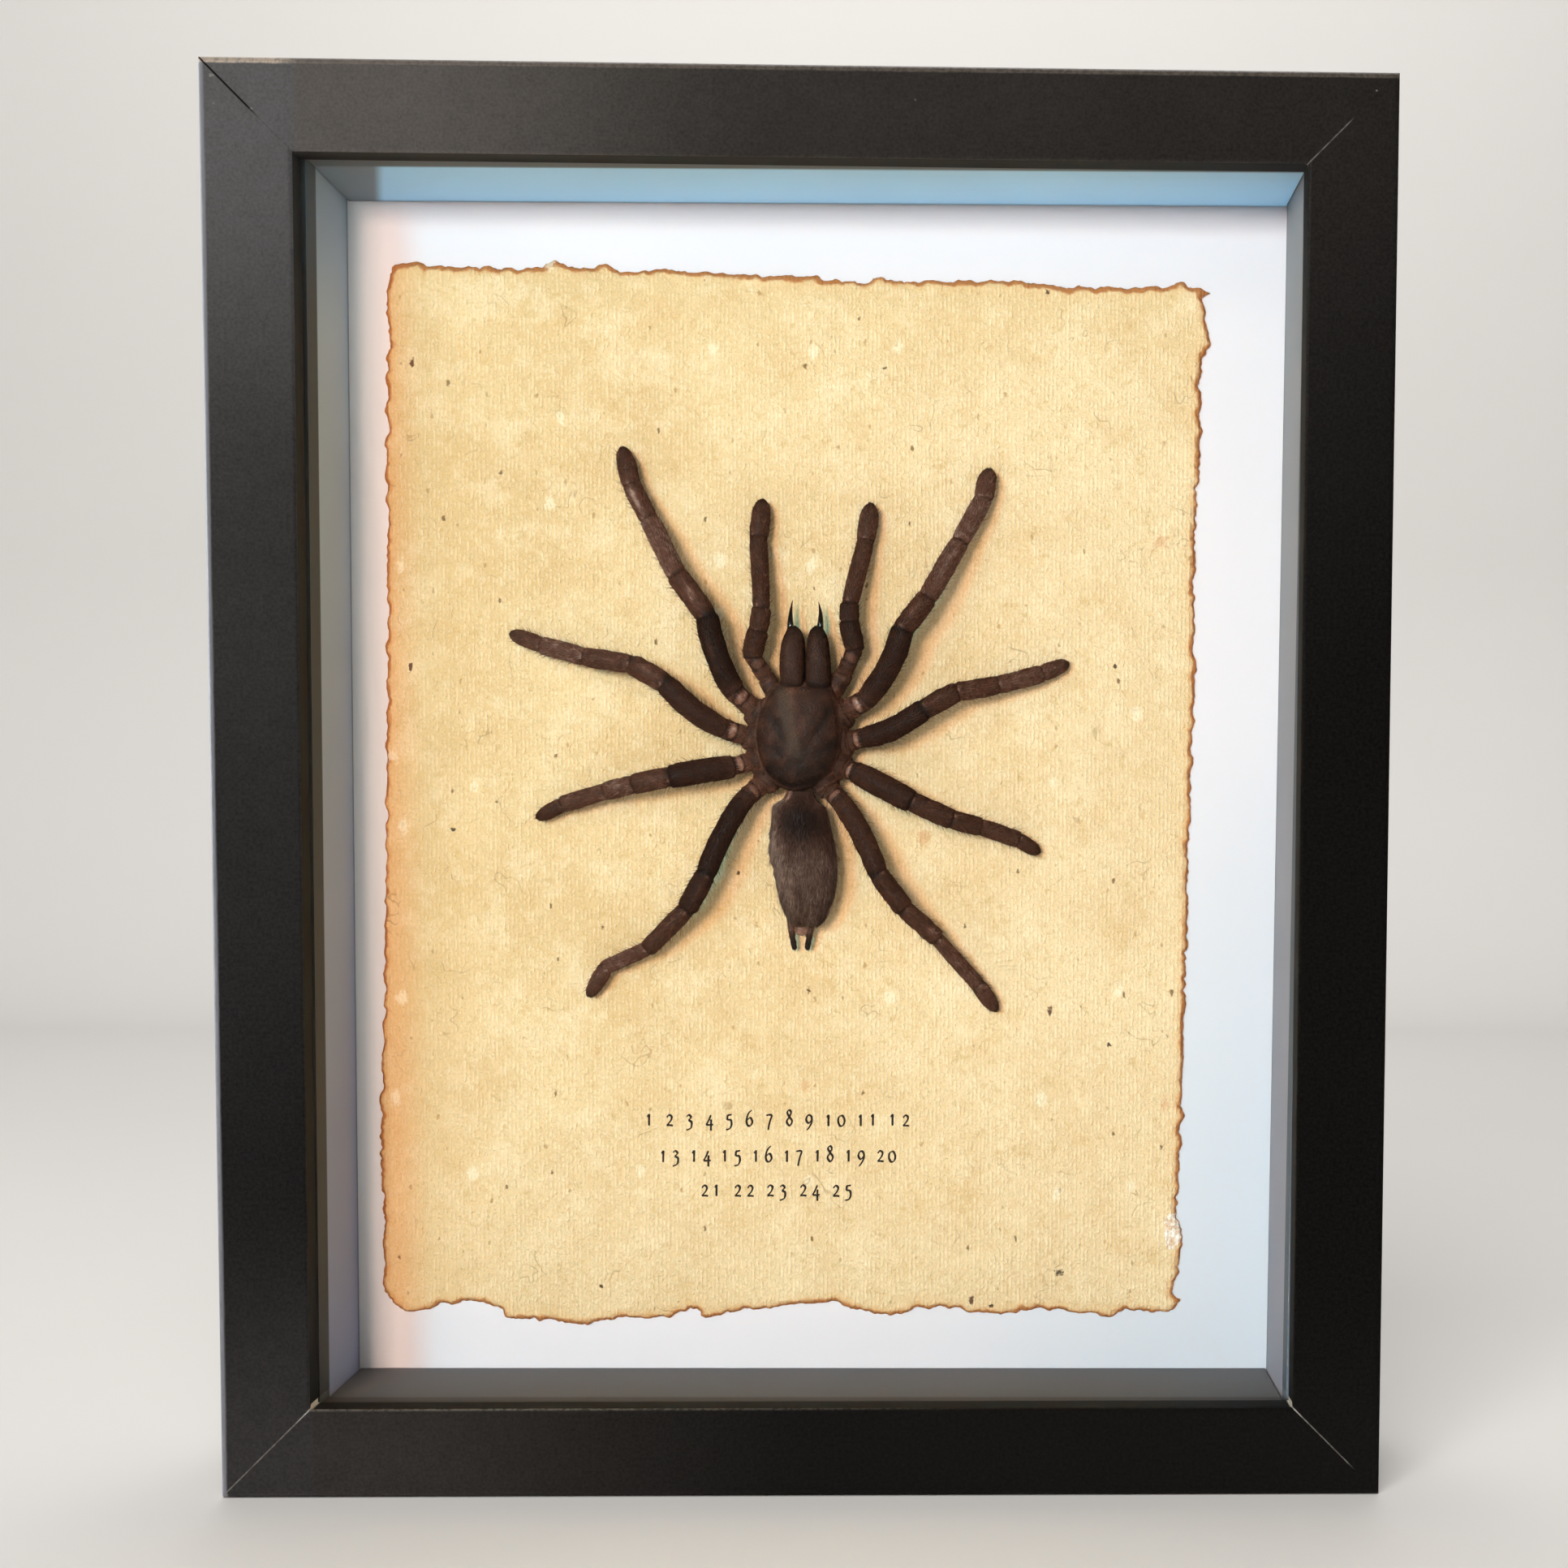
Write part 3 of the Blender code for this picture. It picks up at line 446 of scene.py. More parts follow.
def white_card():
    """Matt white card with a faint fibre tooth, painted light and streaks of painted shade in its left
    margin, and cooler at the lower right.
    """
    finish = Finish("white_card", roughness=0.75, specular_ior_level=0.25)
    x, _, z = finish.axes()
    tooth = finish.noise(1400, 4, 0.7)
    cloud = finish.noise(22, 3, 0.5)
    streaks = finish.noise(300, 3, 0.6, finish.stretched(1, 1, 0.06))
    # Painted light in the left margin: a little cooler than the card, and whiter towards the wall, where the
    # wall shades it.
    painted_light_margin = finish.mix(x.fade(-0.09, -0.0948), (0.775, 0.755, 0.785), (1.0, 0.99, 1.0))
    colour = finish.over(
        finish.mix(cloud.fade(0.3, 0.75), (0.752, 0.712, 0.735), (0.727, 0.697, 0.725)),
        (x.fade(-0.0865, -0.09) * (0.8 + 0.4 * streaks).least(1.0), painted_light_margin),
        # Painted shade in streaks close to the wall.
        (x.fade(-0.0895, -0.0935) * streaks.fade(0.35, 0.65) * 0.2, (0.62, 0.6, 0.62)),
        (x.fade(0.0, 0.09) * z.fade(0.18, 0.05), (0.61, 0.645, 0.7)),
        (tooth.fade(0.55, 0.8) * 0.25, (0.66, 0.655, 0.68)),
    )
    return finish.drive(base_color=colour).bump(tooth, 0.00003, 0.5)


def fibreboard():
    """Brown hardboard: pressed fibres, darker flecks and a soft mottle."""
    finish = Finish("brown_fibreboard", roughness=0.8, specular_ior_level=0.25)
    fibre = finish.noise(900, 5, 0.75, finish.stretched(1, 1, 0.35, 0.4), 0.8)
    other = finish.noise(750, 5, 0.75, finish.stretched(0.3, 1, 1, -0.3), 0.8)
    mottle = finish.noise(45, 3, 0.6).fade(0.35, 0.7)
    hair = fibre.most(other)
    colour = finish.mix(hair.fade(0.42, 0.72), (0.085, 0.05, 0.026), (0.27, 0.175, 0.1))
    colour = finish.mix(mottle * 0.4, colour, (0.16, 0.105, 0.062))
    return finish.drive(base_color=colour).bump(hair, 0.00006, 0.8)


def zinc_steel():
    """Zinc-plated sheet: rolling lines and a faint spangle."""
    finish = Finish("zinc_steel", metallic=1.0)
    lines = finish.noise(900, 3, 0.6, finish.stretched(0.05, 1, 1))
    shine = finish.mix(0.5, finish.cells(420, output="Color"), (0.5, 0.5, 0.5))
    colour = finish.mix(lines * 0.5, (0.56, 0.57, 0.59), (0.42, 0.43, 0.45))
    finish.drive(base_color=finish.mix(0.25, colour, shine, "OVERLAY"), roughness=0.26 + lines * 0.22)
    return finish.bump(lines, 0.00001, 0.6)


# Flecks in the pulp: cells per metre, how squat, share of cells without one, size, colour and strength.
FLECKS = (
    (92, 0.6, 0.78, 0.034, (0.16, 0.075, 0.025), 0.8),
    (60, 0.42, 0.84, 0.028, (0.1, 0.035, 0.018), 0.92),
    (175, 0.6, 0.74, 0.056, (0.42, 0.24, 0.09), 0.6),
    (40, 0.8, 0.84, 0.055, (0.66, 0.27, 0.12), 0.36),
    (58, 0.75, 0.72, 0.07, (1.0, 0.9, 0.66), 0.5),
)
# Single dark specks: x, z, half width and half height, in metres.
SPECKS = (
    (0.0524, 0.0373, 0.0013, 0.00075), (0.0625, 0.0865, 0.0004, 0.00055), (0.0633, 0.1672, 0.00035, 0.0005),
    (-0.0165, 0.123, 0.00035, 0.0004), (0.0143, 0.229, 0.00045, 0.0003), (-0.0765, 0.132, 0.0005, 0.00035),
    (-0.046, 0.0343, 0.0004, 0.0003), (0.0375, 0.03, 0.0005, 0.0004),
)


def handmade_paper():
    """Tan laid paper: upright ribs, pulp, brown flecks and fibres, a burnt rim, painted light to the right
    and painted shade at the top left and in an orange left side.
    """
    finish = Finish("handmade_paper", roughness=0.86, specular_ior_level=0.18)
    x, _, z = finish.axes()
    edge = finish.attribute("edge_mm")
    ribs = finish.node(
        "ShaderNodeTexWave",
        {"wave_type": "BANDS", "bands_direction": "X"},
        {"Vector": finish.object, "Scale": 365.0, "Distortion": 1.1, "Detail": 2.0, "Detail Scale": 1.4},
        "Fac",
    )
    beads = finish.noise(1150, 2, 0.65).fade(0.34, 0.62)
    rib = ribs * beads
    pulp = finish.noise(480, 4, 0.72)
    fine = finish.noise(2300, 3, 0.75)
    cloud = finish.noise(26, 4, 0.6)
    patches = finish.noise(85, 4, 0.65)
    lumps = finish.noise(150, 4, 0.6)
    wander = finish.noise(60, 2, 0.5) - 0.5
    ragged = finish.noise(330, 3, 0.6) - 0.5
    # Painted light: the sheet is lighter towards the right and low down, though not near the top.
    painted_light = x.fade(-0.07, 0.06).most(z.fade(0.12, 0.04) * 0.8) * z.fade(0.262, 0.215)
    glow = bite(x, z, (-0.002, 0.145), (0.062, 0.058)) + (cloud - 0.5) * 0.8
    # Painted shade on the left side, where the frame shades the sheet from the cool lamp.
    left = x.fade(-0.062, -0.09) * (0.55 + 0.5 * cloud) * (0.55 + z.fade(0.16, 0.08) * 0.55)
    stain = (edge + wander * 6.0).fade(3.6, 0.2)
    halo = (edge + ragged * 3.0).fade(1.7, 0.3)
    rim = (edge + ragged * 1.9 + wander * 1.2 - z.fade(0.24, 0.246) * 0.35).fade(0.95, 0.25)
    # A pale torn patch on the right edge.
    torn = bite(x, z, (0.0766, 0.0463), (0.002, 0.004)) + ragged * 2.4
    torn_tint = finish.mix(pulp.fade(0.4, 0.6), (0.7, 0.46, 0.27), (1.0, 0.94, 0.84))
    colour = finish.over(
        finish.mix(cloud.fade(0.35, 0.65), (0.735, 0.518, 0.26), (0.855, 0.648, 0.362)),
        (painted_light * 0.42, (0.96, 0.775, 0.52)),
        # Painted shade towards the top left.
        (z.fade(0.17, 0.25) * x.fade(0.03, -0.06) * 0.16, (0.6, 0.4, 0.18)),
        (glow.fade(1.0, 0.2) * 0.14, (0.86, 0.56, 0.24)),
        (patches.fade(0.5, 0.66) * 0.5, (0.95, 0.765, 0.5)),
        (patches.fade(0.47, 0.33) * 0.42, (0.72, 0.475, 0.22)),
        (lumps.fade(0.52, 0.66) * 0.35, (0.98, 0.81, 0.55)),
        # The ribs lighter and the hollows between ribs and beads darker: the paper's laid lines, with painted
        # light and shade on their relief.
        (rib * 0.45, (0.98, 0.78, 0.49)),
        ((1 - ribs) * 0.16, (0.62, 0.4, 0.16)),
        ((1 - beads) * 0.18, (0.66, 0.43, 0.18)),
        (pulp.fade(0.47, 0.26) * 0.65, (0.64, 0.425, 0.18)),
        (fine.fade(0.5, 0.3) * 0.35, (0.56, 0.365, 0.165)),
        # Painted shade makes the left side more orange, and a stain runs in from every edge.
        (left * 0.55, (0.76, 0.46, 0.19)),
        (stain * 0.24, (0.76, 0.45, 0.18)),
        (halo * 0.52, (0.72, 0.33, 0.1)),
        (rim * 0.88, (0.44, 0.15, 0.04)),
        (torn.fade(1.15, 0.85) * edge.fade(0.02, 0.2), torn_tint),
    )
    for scale, squat, rarity, reach, tint, amount in FLECKS:
        where = finish.node("ShaderNodeCombineXYZ", sockets={0: x, 1: z * squat})
        rare = finish.axes(finish.cells(scale, where, "Color", flat=True))[0].fade(rarity, rarity + 0.02)
        fleck = finish.cells(scale, where, flat=True)
        fleck = fleck + (fine - 0.5) * reach * 2.4 + (pulp - 0.5) * reach * 3.4
        colour = finish.mix(fleck.fade(reach, reach * 0.55) * rare * amount, colour, tint)
    for speck_x, speck_z, long, high in SPECKS:
        speck = bite(x, z, (speck_x, speck_z), (long, high)) + (fine - 0.5) * 6.0 + (pulp - 0.5) * 5.0
        colour = finish.mix(speck.fade(1.05, 0.75) * 0.92, colour, (0.055, 0.03, 0.015))
    # Loose fibres in the pulp: the level lines of a bent noise, shown only here and there.
    strands = (finish.noise(120, 1, 0.5, distortion=1.4) - 0.5).size().fade(0.009, 0.003)
    strands = strands * finish.noise(95, 1, 0.5, finish.stretched(1, 1, 1, 0.7)).fade(0.6, 0.68)
    finish.drive(base_color=finish.mix(strands * 0.45, colour, (0.36, 0.21, 0.09)))
    relief = rib * 0.5 + beads * 0.22 + pulp * 1.1 + lumps * 3.4 + fine * 0.25 + strands * 0.3
    return finish.bump(relief, 0.00027)


def pen_ink():
    """Dark brown ink that sinks unevenly into the paper."""
    finish = Finish("brown_ink", roughness=0.7, specular_ior_level=0.2)
    soak = finish.noise(1800, 3, 0.7)
    finish.drive(base_color=finish.mix(soak.fade(0.3, 0.75), (0.012, 0.007, 0.006), (0.045, 0.026, 0.018)))
    return finish.bump(soak, 0.00003, 0.5)


# Browns of the skin and hair, from tone 0 to tone 1.
TONE_STOPS = (
    (0.0, (0.011, 0.0038, 0.0018)), (0.3, (0.042, 0.0162, 0.0088)), (0.55, (0.107, 0.0425, 0.0235)),
    (0.8, (0.225, 0.099, 0.062)), (1.0, (0.42, 0.275, 0.21)),
)
ASHEN_STOPS = ((0.0, (0.013, 0.0034, 0.002)), (0.5, (0.096, 0.05, 0.036)), (1.0, (0.36, 0.25, 0.2)))


def spider_skin():
    """Dry skin under the hair: brown by segment, dark in the joints, in painted shade under thick hair, with
    a low gloss.
    """
    finish = Finish("spider_skin", specular_ior_level=0.25, coat_roughness=0.25)
    tone = finish.attribute("tone")
    pores = finish.noise(3200, 3, 0.7)
    blotch = finish.noise(800, 3, 0.6)
    colour = finish.ramp(tone * (0.45 + 0.9 * blotch), *TONE_STOPS)
    # Painted shade: the skin is darker where the hair over it is thick.
    deep = finish.attribute("cover").fade(0.15, 0.75) * 0.5
    colour = finish.mix(deep.most(pores.fade(0.45, 0.65) * 0.5), colour, (0.006, 0.0045, 0.004))
    finish.drive(base_color=colour, roughness=0.5 + 0.25 * pores, coat_weight=tone.fade(0.8, 1.05) * 0.6)
    return finish.bump(pores, 0.00006, 0.8)


def spider_hair():
    """Fine hair: its segment's brown, lighter or darker from tuft to tuft, and velvety."""
    finish = Finish("spider_hair", specular_ior_level=0.06)
    x, y, z = finish.axes()
    patch = finish.noise(560, 3, 0.65).fade(0.26, 0.74)
    level = finish.attribute("tone") * (0.8 + 0.36 * patch) + (finish.attribute("shade") - 0.42) * 0.34
    rust = finish.noise(240, 3, 0.6).fade(0.5, 0.64) * level.fade(0.25, 0.6)
    # The abdomen's hair is more ashen, and so is a faded stripe down the middle of the shield.
    belly = bite(x, z, (-0.0026, 0.1262), (0.009, 0.0155))
    drift = (x + 0.0059 + (z - 0.159) * 0.228 + (patch - 0.5) * 0.0006).size()
    stripe = drift.fade(0.0023, 0.0004) * z.fade(0.144, 0.15) * z.fade(0.1628, 0.16) * y.fade(0.0045, 0.0035)
    colour = finish.over(
        finish.ramp(level.most(0.0), *TONE_STOPS),
        (rust * 0.4, (0.16, 0.052, 0.028)),
        (belly.fade(1.15, 0.95) * 0.85, finish.ramp(level.most(0.0), *ASHEN_STOPS)),
        (stripe * 0.9, (0.15, 0.112, 0.074)),
    )
    return finish.drive(base_color=colour, roughness=0.62 + 0.2 * patch)


def fang_horn():
    """Glossy black horn, a little red towards the tip."""
    finish = Finish("black_horn", coat_weight=0.6, coat_roughness=0.05, specular_ior_level=0.6)
    _, _, z = finish.axes()
    streak = finish.noise(1200, 2, 0.5, finish.stretched(1, 1, 0.1))
    tip = z.fade(0.1765, 0.18)
    colour = finish.mix(tip * 0.8, (0.004, 0.003, 0.003), (0.045, 0.012, 0.006))
    return finish.drive(base_color=colour, roughness=0.1 + 0.14 * streak).bump(streak, 0.00001, 0.3)


def pale_floor():
    """The stage's plain pale surface, with the faintest unevenness."""
    finish = Finish("pale_floor", roughness=0.6, specular_ior_level=0.25)
    cloud = finish.noise(3, 2, 0.5)
    return finish.drive(base_color=finish.mix(cloud, (0.66, 0.65, 0.635), (0.7, 0.69, 0.675)))


# ---------------------------------------------------------------- mesh helpers
def new_piece(name, verts, faces, finish, slot=None):
    """Makes a smooth mesh object from places in metres."""
    mesh = bpy.data.meshes.new(name)
    mesh.from_pydata([tuple(vert) for vert in verts], [], faces)
    mesh.validate()
    mesh.shade_smooth()
    return dress(bpy.data.objects.new(name, mesh), finish, slot)


def smooth_mesh(shape, name):
    """Turns a bmesh into a smooth mesh whose faces point outwards."""
    bmesh.ops.recalc_face_normals(shape, faces=shape.faces)
    mesh = bpy.data.meshes.new(name)
    shape.to_mesh(mesh)
    shape.free()
    mesh.shade_smooth()
    return mesh


def dress(piece, finish=None, slot=None, replaced=()):
    """Links a piece, gives it its finish and says what it rides on and stands for."""
    if finish:
        piece.data.materials.append(finish.material)
    if piece.name not in scene.collection.objects:
        scene.collection.objects.link(piece)
    if slot:
        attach(piece, BODY)
    if replaced:
        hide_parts(*replaced)
    return piece


def store(mesh, name, kind, values):
    """Writes an attribute with one value or vector for each vertex."""
    layer = mesh.attributes.new(name, kind, "POINT")
    flat = np.asarray(values, dtype=np.float32).ravel()
    layer.data.foreach_set("vector" if kind == "FLOAT_VECTOR" else "value", flat)


def place(spot):
    """World position of a place on the tarantula, given in mm."""
    x, z, lift = spot
    return Vector((x * MM, PAPER_Y - lift * MM, z * MM))


def rough(x, y, z):
    """Smooth noise between about -1 and 1 at a place."""
    return noise.noise(Vector((x, y, z)))


def hump(value, middle, half):
    """1 at the middle, falling away smoothly over about half."""
    return math.exp(-(((value - middle) / half) ** 2))


def bowed(start, middle, end, along):
    """A point on the smooth bend from start to end that passes through middle."""
    pull = 2 * middle - (start + end) / 2
    return start.lerp(pull, along).lerp(pull.lerp(end, along), along)


def catmull(points, closed=False, steps=6):
    """A smooth polyline through points, as arrays."""
    count = len(points)
    at = lambda i: np.array(points[i % count] if closed else points[min(max(i, 0), count - 1)], float)
    result = []
    for i in range(count if closed else count - 1):
        a, b, c, d = (at(i + k) for k in (-1, 0, 1, 2))
        for t in (step / steps for step in range(steps)):
            curve = 2 * b + (c - a) * t + (2 * a - 5 * b + 4 * c - d) * t**2 + (3 * b - a - 3 * c + d) * t**3
            result.append(0.5 * curve)
    return result if closed else [*result, at(count - 1)]


class Shell:
    """Closed skins gathered into one mesh, with the values that its finish and hair read."""

    def __init__(self):
        self.verts, self.faces = [], []
        self.values = {"tone": [], "cover": [], "fur": [], "growth": []}

    def point(self, spot, tone, cover, fur, growth):
        self.verts.append(Vector(spot))
        for name, value in zip(self.values, (tone, cover, fur, tuple(growth))):
            self.values[name].append(value)
        return len(self.verts) - 1

    def tube(self, stations, sides, describe, power=2.0, square_to=None):
        """Sweeps a rounded section along stations of (point, half width, half depth).

        describe(number, angle) gives (size factor, tone, cover, fur); angle 0 faces the glass. The sections
        stand square to the path, or all to one direction.
        """
        spots = [spot for spot, _, _ in stations]
        rings = []
        for number, (spot, across, deep) in enumerate(stations):
            before, after = spots[max(number - 1, 0)], spots[min(number + 1, len(spots) - 1)]
            along = square_to or (after - before).normalized()
            up = Vector((0, -1, 0))
            up = (up - along * up.dot(along)).normalized()
            side = along.cross(up)
            ring = []
            for k in range(sides):
                angle = (2 * math.pi * k / sides + math.pi) % (2 * math.pi) - math.pi
                factor, tone, cover, fur = describe(number, angle)
                cos, sin = math.cos(angle), math.sin(angle)
                factor /= (abs(cos) ** power + abs(sin) ** power) ** (1 / power)
                out = up * cos * deep + side * sin * across
                ring.append(self.point(spot + out * factor, tone, cover, fur, along))
            rings.append(ring)
        first, last = (
            self.point(spots[end], *(values[rings[end][0]] for values in self.values.values()))
            for end in (0, -1)
        )
        following = [(k, (k + 1) % sides) for k in range(sides)]
        self.faces += [(a[k], a[n], b[n], b[k]) for a, b in zip(rings, rings[1:]) for k, n in following]
        for k, n in following:
            self.faces += [(rings[0][k], first, rings[0][n]), (rings[-1][n], last, rings[-1][k])]

    def egg(self, centre, half, segments, rings, *values):
        """A ball, squared a little and stretched to its half sizes, with the same values all over."""
        power = 2.2

        def spot(polar, turn):
            flat = math.sin(polar)
            unit = Vector((flat * math.cos(turn), flat * math.sin(turn), math.cos(polar)))
            unit = unit / sum(abs(part) ** power for part in unit) ** (1 / power)
            return self.point(centre + unit * half, *values)

        turns = [2 * math.pi * j / segments for j in range(segments)]
        rows = [[spot(math.pi * i / rings, turn) for turn in turns] for i in range(1, rings)]
        top, bottom = spot(0.0, 0.0), spot(math.pi, 0.0)
        following = [(j, (j + 1) % segments) for j in range(segments)]
        self.faces += [(a[j], b[j], b[n], a[n]) for a, b in zip(rows, rows[1:]) for j, n in following]
        for j, n in following:
            self.faces += [(top, rows[0][j], rows[0][n]), (rows[-1][n], rows[-1][j], bottom)]

    def make(self, name, finish):
        mesh = bpy.data.meshes.new(name)
        mesh.from_pydata([tuple(vert) for vert in self.verts], [], self.faces)
        mesh.shade_smooth()
        for value, numbers in self.values.items():
            store(mesh, value, "FLOAT_VECTOR" if value == "growth" else "FLOAT", numbers)
        return dress(bpy.data.objects.new(name, mesh), finish)


# ---------------------------------------------------------------- hair by Geometry Nodes
class Tree(Maker):
    """A Geometry Nodes tree in the making."""

    def __init__(self, name):
        self.tree = bpy.data.node_groups.new(name, "GeometryNodeTree")
        self.start, self.end = (self.tree.nodes.new(f"NodeGroup{way}") for way in ("Input", "Output"))
        self.tree.interface.new_socket("Geometry", in_out="OUTPUT", socket_type="NodeSocketGeometry")

    def value(self, name, kind="NodeSocketFloat"):
        """A named input of the tree."""
        self.tree.interface.new_socket(name, in_out="INPUT", socket_type=kind)
        return Socket(self, self.start.outputs[name])

    def vector(self, operation, *values, output=0):
        return self.node("ShaderNodeVectorMath", {"operation": operation}, dict(enumerate(values)), output)

    def plus(self, vector, other, factor):
        """A vector with another one added, scaled by a factor."""
        scaled = self.node("ShaderNodeVectorMath", {"operation": "SCALE"}, {0: other, "Scale": factor})
        return self.vector("ADD", vector, scaled)

    def named(self, name, kind="FLOAT"):
        return self.node("GeometryNodeInputNamedAttribute", {"data_type": kind}, {"Name": name})

    def chance(self, low, high, seed):
        """A number between low and high for each hair."""
        sockets = {2: low, 3: high, "Seed": seed}
        return self.node("FunctionNodeRandomValue", {"data_type": "FLOAT"}, sockets, 1)

    def keep(self, points, name, value):
        """Stores a value on the points by name."""
        settings = {"data_type": "FLOAT", "domain": "POINT"}
        sockets = {"Geometry": points, "Name": name, "Value": value}
        return self.node("GeometryNodeStoreNamedAttribute", settings, sockets)


def hair_tree():
    """Scatters curved hairs over a skin: a dense short coat and a few long guard hairs."""
    tree = Tree("hair_coat")
    skin = tree.value("Geometry", "NodeSocketGeometry")
    seed = tree.value("Seed", "NodeSocketInt")
    finish = tree.value("Hair Material", "NodeSocketMaterial")
    growth = tree.vector("NORMALIZE", tree.named("growth", "FLOAT_VECTOR"))
    swirl = tree.node("ShaderNodeTexNoise", sockets={"Scale": 750.0, "Detail": 1.5}, output=1)
    swirl = tree.vector("SUBTRACT", swirl, (0.5, 0.5, 0.5))
    tuft = tree.node("ShaderNodeTexNoise", sockets={"Scale": 1100.0, "Detail": 1.0})
    parts = [skin]
    for number, layer in enumerate(("Coat", "Guard")):
        words = ("Density", "Length", "Width", "Lift", "Mess", "Clump")
        density, length, width, lift, mess, clump = (tree.value(f"{layer} {word}") for word in words)
        layer_seed = seed + number * 40.0
        scatter = {"Mesh": skin, "Density": density * tree.named("cover"), "Seed": layer_seed}
        points = tree.node("GeometryNodeDistributePointsOnFaces", {"distribute_method": "RANDOM"}, scatter)
        normal = Socket(tree, points.link.node.outputs["Normal"])
        corners = {0: (-1.0, -1.0, -1.0), 1: (1.0, 1.0, 1.0), "Seed": layer_seed}
        jitter = tree.node("FunctionNodeRandomValue", {"data_type": "FLOAT_VECTOR"}, corners)
        aim = tree.plus(tree.plus(growth, jitter, mess), swirl, clump * 4.0)
        # Flat along the skin first, then lifted, so that no hair grows inwards.
        aim = tree.plus(aim, normal, tree.vector("DOT_PRODUCT", aim, normal, output=1) * -1.0)
        aim = tree.plus(tree.vector("NORMALIZE", aim), normal, lift * (tuft + 0.5))
        turn = tree.node("FunctionNodeAlignRotationToVector", {"axis": "Z"}, {"Vector": aim})
        upright = {"Rotation": turn, "Vector": normal}
        turn = tree.node("FunctionNodeAlignRotationToVector", {"axis": "X", "pivot_axis": "Z"}, upright)
        reach = tree.chance(0.55, 1.15, layer_seed) * length * tree.named("fur") * (tuft + 0.5)
        size = tree.node("ShaderNodeCombineXYZ", sockets={0: width, 1: width, 2: reach})
        shade = tree.chance(-0.15, 0.65, layer_seed) + tuft * 0.5
        points = tree.keep(tree.keep(points, "shade", shade), "is_hair", 1.0)
        # One three-sided spike, one unit long, that bends to one side.
        blade = {"Vertices": 3, "Side Segments": number + 1}
        blade.update({"Radius Top": 0.0, "Radius Bottom": 0.5, "Depth": 1.0})
        hair = tree.node("GeometryNodeMeshCone", {"fill_type": "NONE"}, blade)
        spot = tree.node("GeometryNodeInputPosition")
        rise = tree.node("ShaderNodeSeparateXYZ", sockets={0: spot}, output=2)
        offset = tree.node("ShaderNodeCombineXYZ", sockets={0: rise * (1.0 - rise) * 3.0})
        hair = tree.node("GeometryNodeSetPosition", sockets={"Geometry": hair, "Offset": offset})
        hair = tree.node("GeometryNodeSetShadeSmooth", sockets={"Geometry": hair})
        spread = {"Points": points, "Instance": hair, "Rotation": turn, "Scale": size}
        parts.insert(0, tree.node("GeometryNodeInstanceOnPoints", sockets=spread))
    joined = tree.node("GeometryNodeJoinGeometry")
    for part in parts:
        tree.fill(joined.link.node.inputs[0], part)
    solid = tree.node("GeometryNodeRealizeInstances", sockets={"Geometry": joined})
    chosen = {"Geometry": solid, "Selection": tree.named("is_hair"), "Material": finish}
    tree.fill(tree.end.inputs[0], tree.node("GeometryNodeSetMaterial", sockets=chosen))
    return tree.tree


def grow_hair(piece, tree, seed, **values):
    """Runs the hair tree on a skin and keeps the result as a plain mesh."""
    chosen = {name.replace("_", " ").title(): value for name, value in values.items()}
    chosen.update({"Seed": seed, "Hair Material": HAIR.material})
    coat = piece.modifiers.new("hair", "NODES")
    coat.node_group = tree
    for item in tree.interface.items_tree:
        if item.in_out == "INPUT" and item.name in chosen:
            coat[item.identifier] = chosen[item.name]
    bpy.context.view_layer.update()
    graph = bpy.context.evaluated_depsgraph_get()
    mesh = bpy.data.meshes.new_from_object(piece.evaluated_get(graph))
    piece.modifiers.remove(coat)
    for number in reversed(range(len(mesh.materials))):
        if mesh.materials[number] is None:
            mesh.materials.pop(index=number)
    mesh.name = piece.name
    piece.data = mesh


# ---------------------------------------------------------------- frame
def arc(centre, radius, start, end, steps):
    angles = [math.radians(start + (end - start) * i / steps) for i in range(steps + 1)]
    return [(centre[0] + radius * math.cos(a), centre[1] + radius * math.sin(a)) for a in angles]


def rail_section():
    """Section of the moulding as (distance in from its outer edge, y), with finely rounded edges."""
    outer, lip, inner_back = 0.0013, 0.0006, 0.0004
    hold, nick = 0.0003, 0.0002
    lip_y, back_y = FRONT_Y + LIP_DEPTH, FRAME_DEPTH / 2
    wall = FACE_WIDTH - REBATE_WIDTH
    points = [(0, back_y / 2), (0, FRONT_Y + outer + hold)]
    points += arc((outer, FRONT_Y + outer), outer, 180, 270, 7)
    points += [(outer + hold, FRONT_Y), (FACE_WIDTH / 2, FRONT_Y), (FACE_WIDTH - lip - hold, FRONT_Y)]
    points += arc((FACE_WIDTH - lip, FRONT_Y + lip), lip, 270, 360, 5)
    points += [(FACE_WIDTH, FRONT_Y + lip + hold), (FACE_WIDTH, lip_y - nick), (FACE_WIDTH - nick, lip_y)]
    points += [(wall, lip_y), (wall, 0.0), (wall, back_y - nick), (wall - nick, back_y)]
    points += [(wall / 2, back_y), (inner_back + nick, back_y)]
    points += arc((inner_back, back_y - inner_back), inner_back, 90, 180, 3)
    return [*points, (0, back_y - inner_back - hold)]


